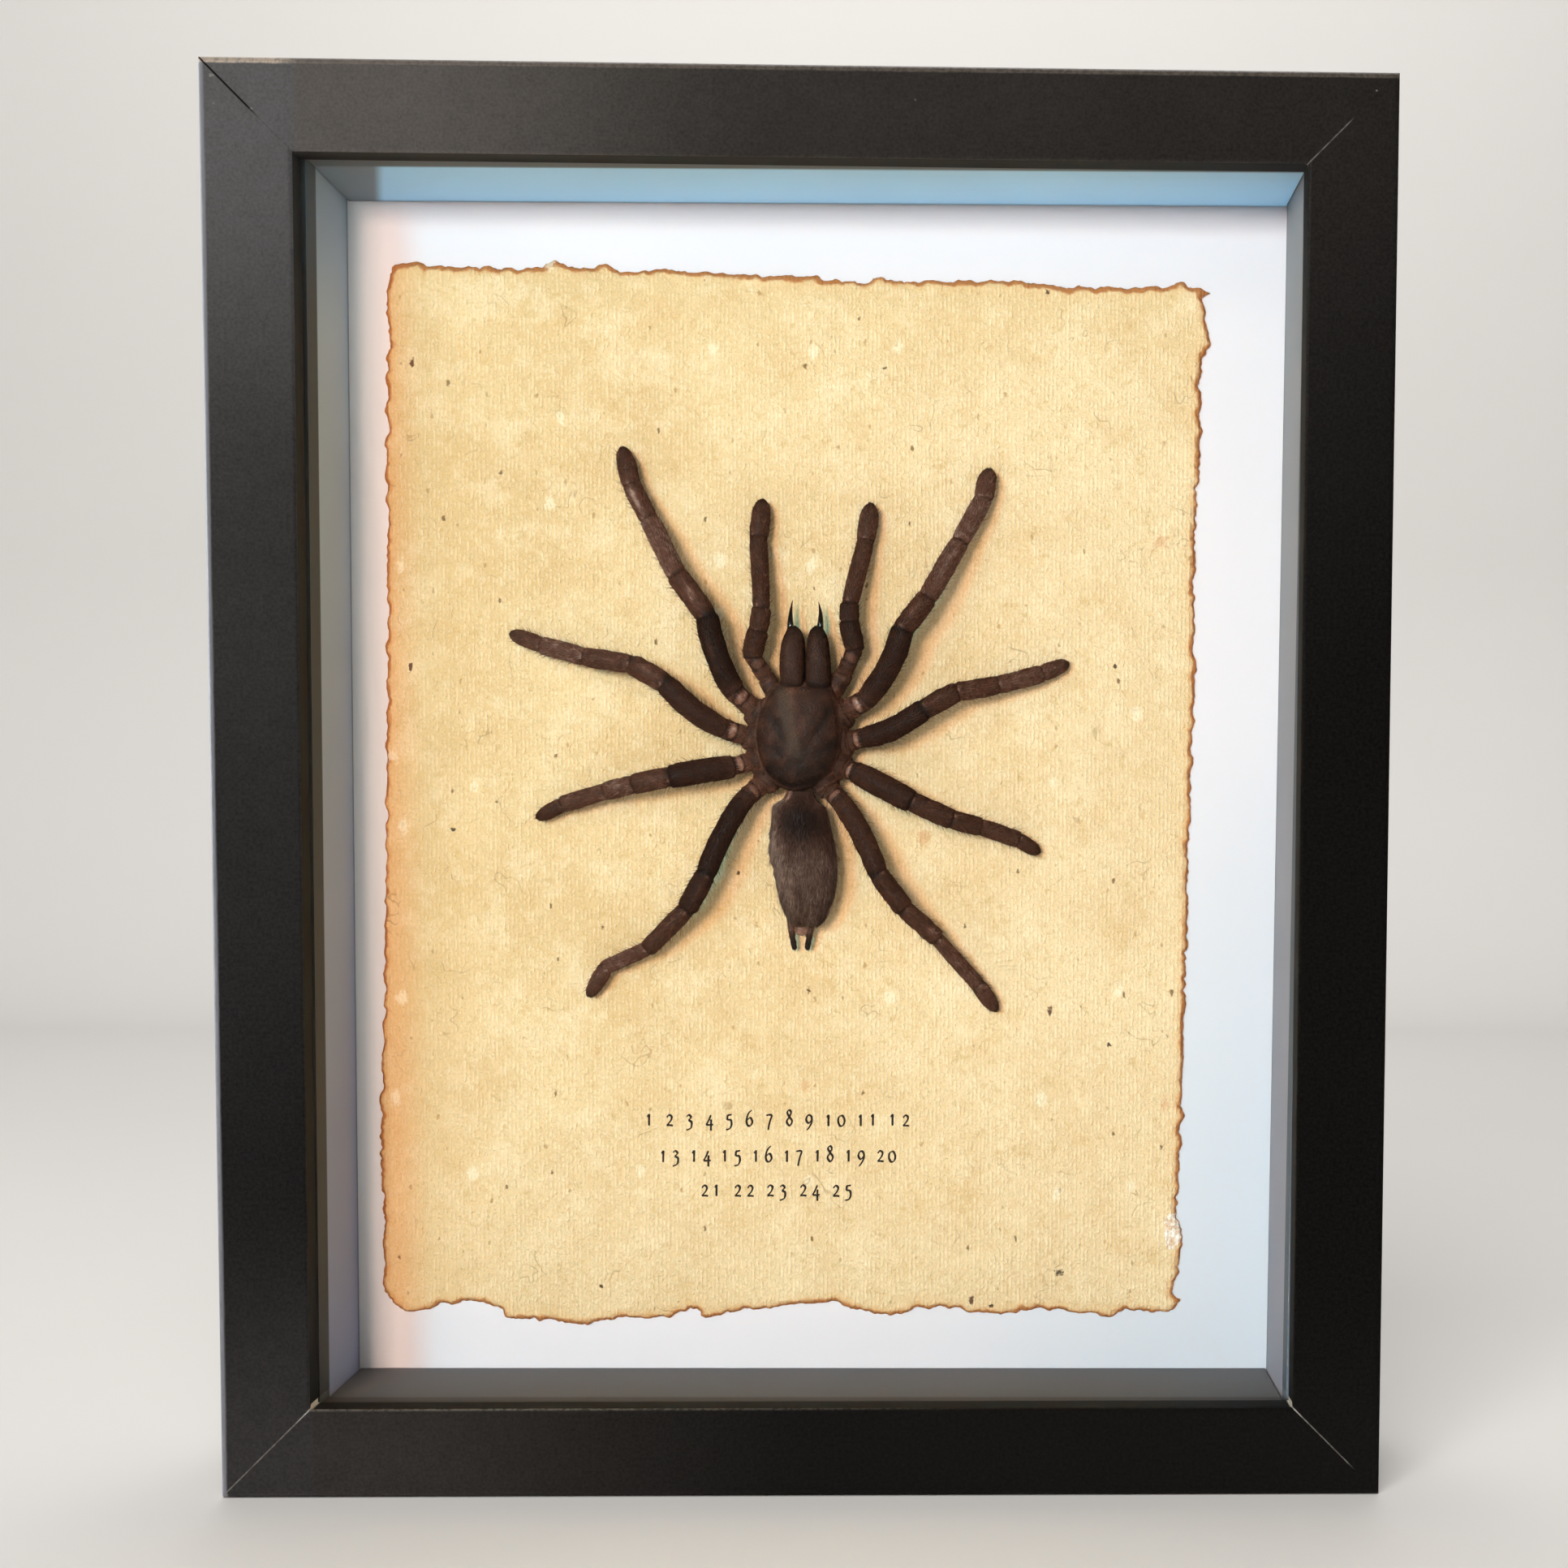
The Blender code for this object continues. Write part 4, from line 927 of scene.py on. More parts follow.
def frame_rails(finish):
    """Four mitred rails that meet on the diagonal with a hairline between them."""
    section = rail_section()
    following = [(k, (k + 1) % len(section)) for k in range(len(section))]
    middle, side = FRAME_HEIGHT / 2, FRAME_WIDTH / 2
    # Each rail's length, the middle of its outer edge, the way along it and the way in.
    rails = {
        "rail_bottom": (FRAME_WIDTH, (0, 0, 0), (1, 0, 0), (0, 0, 1)),
        "rail_top": (FRAME_WIDTH, (0, 0, FRAME_HEIGHT), (1, 0, 0), (0, 0, -1)),
        "rail_left": (FRAME_HEIGHT, (-side, 0, middle), (0, 0, 1), (1, 0, 0)),
        "rail_right": (FRAME_HEIGHT, (side, 0, middle), (0, 0, 1), (-1, 0, 0)),
    }
    hairline, soften, near = 0.000004, 0.00005, 0.02
    made = []
    for name, (length, *ways) in rails.items():
        spot, along, inward = (Vector(way) for way in ways)
        shape = bmesh.new()
        loops = []
        for end, cut in ((-1, 0.0), (-1, soften), (-1, near), (1, near), (1, soften), (1, 0.0)):
            loop = []
            for depth, y in section:
                reach = length / 2 - depth - hairline - cut
                if cut == 0.0 and y in (FRONT_Y, FRAME_DEPTH / 2):
                    y += math.copysign(soften * 0.5, -y)
                loop.append(shape.verts.new(spot + along * end * reach + inward * depth + Vector((0, y, 0))))
            loops.append(loop)
        for a, b in zip(loops, loops[1:]):
            for k, n in following:
                shape.faces.new((a[k], a[n], b[n], b[k]))
        shape.faces.new(loops[0])
        shape.faces.new(reversed(loops[-1]))
        mesh = smooth_mesh(shape, name)
        mesh.set_sharp_from_angle(angle=math.radians(35))
        made.append(dress(bpy.data.objects.new(f"{name}_moulding", mesh), finish, "frame_paint", (name,)))
    return made


def keep_node(name, finish):
    """A CAD piece whose shape is right gets its finish."""
    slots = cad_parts[name].material_slots
    if len(slots) == 0:
        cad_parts[name].data.materials.append(finish.material)
    for slot in slots:
        slot.material = finish.material


# ---------------------------------------------------------------- paper and label
def waves(x, z, *layers):
    """Sum of smooth noise at a place in mm, from layers of (scale across, scale up, seed, height)."""
    return sum(rough(x * across, z * up, seed) * height for across, up, seed, height in layers)


def deckle_outline():
    """The torn edge at fine steps, in mm: the sheet's outline with small tears and teeth."""
    line = []
    for spot in catmull(PAPER_OUTLINE, closed=True, steps=40):
        if not line or np.linalg.norm(spot - line[-1]) > 0.34:
            line.append(spot)
    out = []
    for number, (x, z) in enumerate(line):
        along = line[(number + 1) % len(line)] - line[number - 1]
        along = along / np.linalg.norm(along)
        wave = waves(x, z, (0.33, 0.33, 3.0, 0.75), (0.85, 0.85, 8.0, 0.45))
        wave += 0.38 * (0.22 - abs(waves(x, z, (1.5, 1.5, 15.0, 1.0))))
        out.append((x - along[1] * wave, z + along[0] * wave))
    return np.array(out)


def paper_front(x, z, edge=99.0):
    """y of the sheet's face at a place in mm; edge is how far that place lies from the torn edge."""
    thick = 0.9 + waves(x, z, (0.045, 0.035, 1.0, 0.16), (0.22, 0.18, 5.0, 0.07), (0.7, 0.55, 9.0, 0.035))
    feather = 0.25 + 0.75 * (1 - math.exp(-max(edge, 0.0) / 0.55))
    ragged = 0.5 + waves(x, z, (0.9, 0.9, 12.0, 0.5))
    lip = 0.22 * ragged * hump(edge, 1.1, 0.8)
    return PAPER_BACK_Y - (thick * feather + lip) * MM


def inside(points, outline):
    """Which points lie within a closed outline."""
    result = np.zeros(len(points), bool)
    x, z = points[:, 0], points[:, 1]
    for (x1, z1), (x2, z2) in zip(outline, np.roll(outline, -1, axis=0)):
        crosses = (z1 > z) != (z2 > z)
        if z1 != z2:
            result ^= crosses & (x < (x2 - x1) * (z - z1) / (z2 - z1) + x1)
    return result


def paper_sheet(finish):
    """The handmade sheet: a fine mesh with its cockles, lumps and thin torn edge."""
    outline = deckle_outline()
    count = len(outline)
    low, high = outline.min(0), outline.max(0)
    step, jitter, clear = 0.78, 0.2, 0.42
    rng = np.random.default_rng(11)
    grid = np.stack(np.meshgrid(np.arange(low[0], high[0], step), np.arange(low[1], high[1], step)), -1)
    grid = grid.reshape(-1, 2) + rng.uniform(-jitter, jitter, (grid.size // 2, 2))
    tree = kdtree.KDTree(count)
    for number, (x, z) in enumerate(outline):
        tree.insert((x, z, 0), number)
    tree.balance()
    grid = grid[inside(grid, outline)]
    reach = np.array([tree.find((x, z, 0))[2] for x, z in grid])
    flat = np.concatenate([outline, grid[reach > clear]])
    edge = np.concatenate([np.zeros(count), reach[reach > clear]])
    rim = [(k, (k + 1) % count) for k in range(count)]
    _, _, faces, _, _, _ = delaunay_2d_cdt([Vector(spot) for spot in flat], rim, [], 1, 1e-7)
    shape = bmesh.new()
    face = [shape.verts.new((x * MM, paper_front(x, z, d), z * MM)) for (x, z), d in zip(flat, edge)]
    back = [shape.verts.new((x * MM, PAPER_BACK_Y, z * MM)) for x, z in outline]
    for corners in faces:
        shape.faces.new([face[k] for k in corners])
    for k, n in rim:
        shape.faces.new((face[k], face[n], back[n], back[k]))
    shape.faces.new(back)
    mesh = smooth_mesh(shape, "paper_sheet")
    store(mesh, "edge_mm", "FLOAT", np.concatenate([edge, np.zeros(count)]))
    dress(bpy.data.objects.new("laid_paper", mesh), finish, "handmade_paper", ("paper_sheet",))


# Pen strokes of old-style numerals, as x and z in turn, in hundredths of the x-height.
NUMERALS = {
    "0": ((30, 100, 5, 78, 2, 35, 22, 0, 50, 12, 60, 55, 45, 92, 30, 100),),
    "1": ((8, 80, 24, 102, 24, 55, 24, 0),),
    "2": ((6, 78, 26, 102, 50, 86, 42, 50, 4, 3), (4, 4, 35, 6, 62, 2)),
    "3": ((6, 86, 28, 102, 47, 80, 22, 52), (22, 52, 52, 32, 44, -20, 2, -40)),
    "4": ((44, 102, 22, 50, 0, 12), (0, 12, 35, 10, 66, 14), (46, 62, 44, 0, 44, -44)),
    "5": ((54, 102, 30, 97, 14, 96), (16, 96, 12, 52), (12, 52, 44, 50, 52, 8, 34, -30, 0, -40)),
    "6": ((52, 148, 20, 115, 3, 55, 12, 8, 38, 2, 57, 38, 38, 76, 10, 56),),
    "7": ((2, 94, 30, 100, 58, 98), (58, 98, 34, 30, 20, -42)),
    "8": ((48, 122, 30, 146, 10, 122, 30, 82, 55, 42, 32, 0, 5, 36, 28, 80, 48, 122),),
    "9": ((52, 52, 26, 26, 4, 58, 22, 100, 52, 88, 54, 35, 30, -15, 8, -40),),
}
# Each line's numbers, its left and right ends and its baseline, in mm on the sheet.
LABEL_LINES = (
    ("1 2 3 4 5 6 7 8 9 10 11 12", -36.2, 21.0, 69.0),
    ("13 14 15 16 17 18 19 20", -33.2, 18.0, 61.25),
    ("21 22 23 24 25", -24.5, 8.8, 53.8),
)
X_HEIGHT = 2.3
WORD_SPACE = 0.62
PEN_ANGLE = math.radians(38)


def label(finish):
    """Three centred lines of plain numbers in pen strokes that lie on the paper."""
    verts, faces = [], []
    rng = np.random.default_rng(5)
    for text, left, right, base in LABEL_LINES:
        pitch = (right - left) / (len(text.replace(" ", "")) + text.count(" ") * WORD_SPACE)
        x = left
        for sign in text:
            if sign == " ":
                x += pitch * WORD_SPACE
                continue
            shift, lift = x + rng.uniform(-0.06, 0.06), base + rng.uniform(-0.07, 0.07)
            for stroke in NUMERALS[sign]:
                spots = np.array(stroke).reshape(-1, 2) / 100 * X_HEIGHT + (shift, lift)
                add_stroke(verts, faces, catmull(spots, steps=7))
            x += pitch
    new_piece("label_numbers", verts, faces, finish, "handmade_paper")


def add_stroke(verts, faces, path):
    """One pen stroke as a thin closed ribbon, thick or thin by its direction."""
    start, last = len(verts), len(path) - 1
    for number, spot in enumerate(path):
        along = path[min(number + 1, last)] - path[max(number - 1, 0)]
        along = along / max(np.linalg.norm(along), 1e-6)
        slant = abs(math.sin(math.atan2(along[1], along[0]) - PEN_ANGLE))
        ends = 0.75 if number in (0, last) else 1.0
        half = (0.125 + 0.125 * slant) * ends * (1 + waves(*spot, (2.2, 2.2, 4.0, 0.18)))
        for side in (1, -1):
            x, z = spot + np.array((-along[1], along[0])) * half * side
            verts += [(x * MM, paper_front(x, z) + rise * MM, z * MM) for rise in (-0.035, 0.05)]
    for a in range(start, start + 4 * last, 4):
        faces += [(a, a + 2, a + 6, a + 4), (a + 1, a + 5, a + 7, a + 3)]
        faces += [(a, a + 4, a + 5, a + 1), (a + 2, a + 3, a + 7, a + 6)]
    end = start + 4 * last
    faces += [(start, start + 1, start + 3, start + 2), (end, end + 2, end + 3, end + 1)]


# ---------------------------------------------------------------- tarantula
# Size of a segment, and of a limb's last one, by how far along it is.
SWELL = ((0.0, 0.05, 0.15, 0.3, 0.6, 0.85, 0.96, 1.0), (0.89, 0.94, 0.98, 1.0, 1.01, 1.0, 0.96, 0.91))
TIP = ((0.0, 0.05, 0.16, 0.42, 0.66, 0.84, 0.94, 1.0), (0.86, 0.91, 0.97, 1.0, 0.93, 0.74, 0.49, 0.22))
# Share of a segment's radius that is skin and not hair, and where its sections stand.
SKIN_SHARE = (0.99, 1.0, 0.98, 0.95, 0.93, 0.96)
PALP_SHARE = 1.08
SPACING = (
    0.0, 0.015, 0.035, 0.07, 0.13, 0.2, 0.28, 0.36, 0.44, 0.52, 0.6, 0.68, 0.76, 0.84, 0.9, 0.95, 0.985,
)
TROCHANTER, FEMUR, PATELLA, TIBIA, METATARSUS = range(5)
# Bare glossy streaks, painted pale as their highlight: segment, middle and half length along it, angle round
# it, half width and strength.
STREAKS = {
    "leg_1_left": (
        (METATARSUS, 0.55, 0.34, -0.3, 0.2, 1.0), (PATELLA, 0.6, 0.22, 0.15, 0.1, 0.8),
        (PATELLA, 0.42, 0.14, -0.2, 0.1, 0.6), (FEMUR, 0.55, 0.2, -0.35, 0.12, 0.5)),
    "leg_1_right": ((PATELLA, 0.55, 0.3, -0.3, 0.12, 0.35), (TIBIA, 0.5, 0.3, 0.1, 0.14, 0.25)),
    "leg_2_left": ((PATELLA, 0.5, 0.32, 0.25, 0.13, 0.4), (TIBIA, 0.4, 0.25, 0.1, 0.12, 0.3)),
    "leg_2_right": ((PATELLA, 0.5, 0.32, -0.3, 0.13, 0.35),),
    "leg_3_left": ((PATELLA, 0.5, 0.3, 0.1, 0.3, 0.3), (TIBIA, 0.5, 0.3, 0.1, 0.3, 0.3)),
    "leg_4_left": ((PATELLA, 0.5, 0.3, -0.3, 0.14, 0.4), (TIBIA, 0.4, 0.2, 0.2, 0.12, 0.3)),
    "leg_4_right": ((TIBIA, 0.75, 0.12, -0.3, 0.2, 0.45), (PATELLA, 0.5, 0.3, 0.2, 0.12, 0.25)),
}
# How pale the oval plate at each limb's root is.
ROOT_PLATES = {
    "leg_1_right": 1.0, "leg_2_right": 0.8, "leg_3_right": 0.85, "leg_4_right": 0.55, "leg_1_left": 0.8,
    "leg_2_left": 0.85, "leg_3_left": 0.8, "leg_4_left": 0.35, "palp_left": 0.0, "palp_right": 0.1,
}
# The hair's inputs: hairs per square metre, lengths and widths.
FUR = {
    "coat_density": 25e6, "coat_length": 0.78 * MM, "coat_width": 0.12 * MM, "coat_lift": 0.26,
    "coat_mess": 0.25, "coat_clump": 0.42,
    "guard_density": 1.2e6, "guard_length": 2.0 * MM, "guard_width": 0.1 * MM, "guard_lift": 0.95,
    "guard_mess": 0.35, "guard_clump": 0.5,
}


def furred(shell, name, tree, seed, **changes):
    """Makes a shell's mesh, grows its hair and lets it stand for its CAD node."""
    piece = shell.make(f"{name}_hairy", SKIN)
    grow_hair(piece, tree, seed, **{**FUR, **changes})
    dress(piece, slot="brown_hair", replaced=(name,))


def limb_radii(name):
    return LIMB_RADII[name.rsplit("_", 1)[0]]


def limb_path(name):
    """Stations along a limb: (point, radius, segment, how far along it)."""
    spots = [place(spot) for spot in LIMBS[name]]
    radii = limb_radii(name)
    base, trochanter, femur_middle = spots[:3]
    stops = [base - (trochanter - base).normalized() * 0.0002, trochanter, *spots[3:]]
    path = []
    for number, radius in enumerate(radii):
        begin, end = stops[number], stops[number + 1]
        last = number == len(radii) - 1
        middle = femur_middle if number == FEMUR else (begin + end) / 2
        for along in (*SPACING, 0.997) if last else SPACING:
            swell = np.interp(along, *(TIP if last else SWELL))
            skin = radius * swell * SKIN_SHARE[number] * (PALP_SHARE if name.startswith("palp") else 1.0) * MM
            path.append((bowed(begin, middle, end, along), skin, number, along))
    return path


def limb(name, tree, seed):
    """A leg or palp: hairy segments with stepped joints and painted glints past them, bare streaks painted
    pale as highlights, and a pale plate at its root.
    """
    path = limb_path(name)
    tones = LIMB_TONES[name]
    last = len(tones) - 1
    plate = ROOT_PLATES[name]

    def describe(number, angle):
        spot, _, segment, along = path[number]
        joint = hump(along, 0.0, 0.022) * (segment > 0)
        if segment < last:
            joint = max(joint, hump(along, 1.0, 0.018))
        back = 0.5 + 0.5 * math.cos(angle)
        grain = noise.noise(spot * 900 + Vector((0, angle * 1.5, seed)))
        relief = 1 + 0.05 * grain + 0.03 * noise.noise(spot * 2200 + Vector((angle * 3, 0, seed)))
        relief += 0.07 * noise.noise(spot * 420 + Vector((angle * 0.6, seed * 2.0, 0)))
        previous = tones[max(segment - 1, 0)]
        tone = previous + (tones[segment] - previous) * min(1.0, 0.35 + along * 4)
        cover = (0.35 + 0.65 * back**0.6) * (1 - 0.45 * joint)
        fur = 1.0 - 0.35 * joint
        if segment == TROCHANTER:
            off = math.hypot((along - 0.64) / 0.21, (angle - 0.1) / 1.15)
            dome = max(0.0, 1 - off**4)
            rim = hump(off, 1.12, 0.16)
            tone = tone * (1 - dome) + (0.55 + 0.42 * plate) * dome - 0.45 * rim
            cover *= 1 - 0.97 * min(dome + rim + hump(off, 1.5, 0.3) * (along < 0.66), 1.0)
            relief += 0.06 * dome - 0.08 * rim
        # Painted glints: pale bare spots just past the joints, on one side.
        painted_glint = hump(along, 0.03, 0.022) * hump(angle, -0.45 + 0.3 * math.sin(seed * 3.0 + segment), 0.28)
        if segment > FEMUR:
            tone += 0.5 * painted_glint
            cover *= 1 - 0.8 * painted_glint
        tone -= 0.28 * joint * (1 - painted_glint)
        # Bare streaks: the hair is thin there, and the skin is painted pale as its highlight.
        for part, middle, half, turn, width, strength in STREAKS.get(name, ()):
            if part == segment:
                bare = strength * hump(along, middle, half) * hump(angle, turn, width * 1.5)
                bare = min(bare * (0.9 + 0.6 * grain), 1.0)
                tone, cover = tone + 0.75 * bare, cover * (1 - 0.98 * min(bare * 1.3, 1.0))
        if segment == last:
            fur *= 0.85
            tone -= 0.25 * hump(along, 1.0, 0.12)
        return relief, max(tone, 0.0), max(cover, 0.0), fur

    shell = Shell()
    shell.tube([(spot, radius, radius) for spot, radius, _, _ in path], 26, describe)
    furred(shell, name, tree, seed)


SHIELD_OUTLINE = (
    (-7.8, 162.6), (-5.0, 163.0), (-2.2, 163.1), (0.9, 162.9), (3.6, 162.4), (4.5, 160.2), (5.2, 158.1),
    (5.8, 154.7), (6.0, 151.3), (5.6, 147.9), (4.2, 144.9), (2.0, 142.3), (-0.5, 141.0), (-3.4, 140.3),
    (-6.2, 140.8), (-8.9, 142.5), (-11.0, 145.3), (-12.0, 148.7), (-12.3, 152.1), (-11.9, 155.4),
    (-10.6, 158.8), (-9.2, 161.0),
)
SHIELD_TONE = 0.38
# Furrows that run out from the dimple: bearing and depth in mm.
FURROWS = ((-0.62, 0.32), (0.62, 0.26), (-1.15, 0.26), (1.15, 0.2), (-1.75, 0.22), (1.75, 0.2))


def shield_reach():
    """Bearings and distances of the shield's outline from its middle, for interpolation."""
    rim = np.array(catmull(SHIELD_OUTLINE, closed=True)) - np.array(SHIELD_CENTRE[:2])
    bearing = np.arctan2(rim[:, 0], rim[:, 1])
    order = np.argsort(bearing)
    return bearing[order], np.hypot(*rim.T)[order]


def shield_form(x, z, edge):
    """Relief in mm, tone and hair cover on the shield's face; x and z run from -1 to 1, edge from 0 to 1."""
    hub_x, hub_z = 0.03, -0.5
    reach, bearing = math.hypot(x - hub_x, z - hub_z), math.atan2(x - hub_x, z - hub_z)
    relief = -0.25 * hump(z - 0.25 * abs(x - hub_x), hub_z, 0.07) * hump(x, hub_x, 0.16)
    tone = SHIELD_TONE - 0.26 * hump(reach, 0.0, 0.13)
    inner, outer = min(max(reach - 0.12, 0.0) * 2.0, 1.0), min(max(0.95 - edge, 0.0) * 6, 1.0)
    for spoke, depth in FURROWS:
        off = math.remainder(bearing - spoke, 2 * math.pi) * max(reach, 0.2)
        furrow = hump(off, 0.0, 0.09) * inner * outer
        relief -= depth * furrow
        tone -= 0.24 * furrow
    relief += 0.2 * hump(x, 0.0, 0.42) * max(z + 0.25, 0.0)
    relief += 0.1 * rough(x * 4, z * 4, 2.0) + 0.05 * rough(x * 11, z * 11, 7.0)
    tone += 0.2 * hump(x, -0.16 + 0.1 * (0.5 - z) * 0.5, 0.12) * max(min(z + 0.62, 0.6), 0.0) / 0.6
    # Random tone, painted shade on the right side, and darker at the back.
    tone += 0.06 + 0.22 * rough(x * 4, z * 4, 4.0) - 0.08 * hump(x, 0.55, 0.5) - 0.12 * hump(z, -0.85, 0.3)
    rim = hump(edge, 0.955, 0.022)
    tone += 0.3 * rim * (0.35 + 0.65 * (x < 0 and z < 0)) - 0.12 * hump(edge, 0.9, 0.03)
    relief -= 0.25 * hump(edge, 0.9, 0.03)
    return relief, max(tone, 0.02), 1.0 - 0.55 * rim


def shield(shell):
    """The domed shield over its drawn outline, with furrows that run to the dimple behind its middle."""
    bearings, reaches = shield_reach()
    centre, half = place(SHIELD_CENTRE), SHIELD_HALF[2] * MM
    segments, rings = 110, 64
    rows = []
    for i in range(rings + 1):
        polar = math.pi * i / rings
        edge = math.sin(polar) ** 0.78 if 0 < i < rings else 0.0
        rise = math.copysign(abs(math.cos(polar)) ** 0.86, math.cos(polar))
        row = []
        for j in range(segments if 0 < i < rings else 1):
            bearing = 2 * math.pi * j / segments - math.pi
            reach = np.interp(bearing, bearings, reaches, period=2 * math.pi) * edge
            x, z = math.sin(bearing) * reach, math.cos(bearing) * reach
            relief, tone, cover = 0, 0.2, 0.2
            if rise > -0.25:
                relief, tone, cover = shield_form(x / SHIELD_HALF[0], z / SHIELD_HALF[1], edge)
            lift = half * rise + relief * max(rise, 0.0) ** 0.5 * MM
            spot = centre + Vector((x * MM, -lift, z * MM))
            row.append(shell.point(spot, tone, cover, 0.62, (x * 0.03, -0.1, -1.0)))
        rows.append(row)
    for a, b in zip(rows, rows[1:]):
        for j in range(segments):
            n = (j + 1) % segments
            if len(a) == 1:
                shell.faces.append((a[0], b[n], b[j]))
            elif len(b) == 1:
                shell.faces.append((a[j], a[n], b[0]))
            else:
                shell.faces.append((a[j], a[n], b[n], b[j]))


# Size of a limb's root along its way from under the shield to the trochanter, by the trochanter's radius.
ROOT_SIZES = (1.2, 1.32, 1.45, 1.56, 1.64, 1.68, 1.68, 1.65, 1.6, 1.52, 1.42, 1.28, 1.08, 0.72)


def cephalothorax(tree):
    """The shield, its low eye knob, and the rounded roots of the ten limbs around it."""
    shell = Shell()
    shield(shell)
    shell.egg(place(EYE_SPOT), Vector((1.35, 0.85, 0.9)) * MM, 28, 16, 0.3, 0.25, 0.4, (0, -0.3, -1))
    for number, name in enumerate(LIMBS):
        end, trochanter = (place(spot) for spot in LIMBS[name][:2])
        radius = limb_radii(name)[0] * MM
        inner = end.lerp(place(SHIELD_CENTRE), COXA_REACH)
        shoulder = end - (trochanter - end).normalized() * radius * 0.5
        line = [inner.lerp(shoulder, t / 9) for t in range(10)]
        line += [shoulder.lerp(end, t) for t in (0.35, 0.7, 1.0, 1.25)]
        share = 0.85 if name.startswith("palp") else 1.0
        sizes = [size * share for size in ROOT_SIZES]
        stations = [(spot, radius * size, radius * (0.25 + 0.6 * size)) for spot, size in zip(line, sizes)]

        def describe(station, angle, number=number):
            along = station / 13
            groove = hump(along, 0.5, 0.05)
            lump = 1 + 0.07 * math.sin(angle * 2 + number)
            lump += 0.09 * rough(angle * 1.6, along * 6.0, number)
            # Painted light and shade: lighter on top, darker underneath.
            tone = 0.5 + 0.1 * math.cos(angle) - 0.25 * groove - 0.4 * hump(along, 1.0, 0.06)
            tone += 0.22 * rough(angle * 2.0, along * 9.0, number + 20)
            return lump - 0.06 * groove, max(tone, 0.0), 0.5 + 0.3 * math.cos(angle), 0.75

        shell.tube(stations, 24, describe)
    changes = {"coat_length": 0.75 * MM, "coat_lift": 0.2, "guard_density": 0.3e6, "guard_length": 1.5 * MM}
    furred(shell, "cephalothorax", tree, 301, **changes)
    eyes(place(EYE_SPOT))


def eyes(centre):
    """Eight small glossy eyes on the knob."""
    shape = bmesh.new()
    pairs = ((0.38, 0.15, 0.2), (0.85, 0.35, 0.15), (0.95, -0.1, 0.13), (0.7, -0.4, 0.12))
    for across, along, radius in pairs:
        depth = 0.85 * math.sqrt(max(1 - (across / 1.35) ** 2 - (along / 0.9) ** 2, 0.05)) - radius * 0.3
        for side in (-1, 1):
            made = bmesh.ops.create_icosphere(shape, subdivisions=2, radius=radius * MM)["verts"]
            spot = centre + Vector((across * side, -depth, along)) * MM
            bmesh.ops.translate(shape, vec=spot, verts=made)
    dress(bpy.data.objects.new("eyes", smooth_mesh(shape, "eyes")), HORN, "black_horn")


# The abdomen from the waist to the tail: z, its left and right side, its lift and its half thickness.
ABDOMEN_SIDES = (
    (140.4, -5.8, -0.2, 5.2, 1.2), (139.3, -6.2, 0.3, 5.3, 1.7), (138.6, -6.7, 0.7, 5.4, 2.3),
    (138.0, -7.6, 1.1, 5.5, 3.2), (137.2, -8.4, 2.0, 5.7, 4.0), (135.7, -8.8, 2.9, 6.0, 4.5),
    (131.6, -9.2, 3.9, 6.4, 4.95), (128.6, -9.4, 4.5, 6.6, 5.15), (126.1, -9.0, 4.8, 6.6, 5.1),
    (122.7, -8.2, 4.9, 6.5, 4.9), (119.2, -7.5, 4.5, 6.3, 4.6), (116.7, -6.9, 3.7, 6.0, 4.1),
    (114.4, -6.0, 2.8, 5.7, 3.3), (113.1, -5.3, 2.0, 5.6, 2.5), (112.4, -4.4, 1.2, 5.5, 1.5),
)


def skin_stations(rows, share, steps):
    """Stations for a tube from rows of (z, left, right, lift, half thickness), its width times a share."""
    stations = []
    for z, left, right, lift, deep in catmull(rows, steps=steps):
        stations.append((place(((left + right) / 2, z, lift)), (right - left) / 2 * share * MM, deep * MM))
    return stations


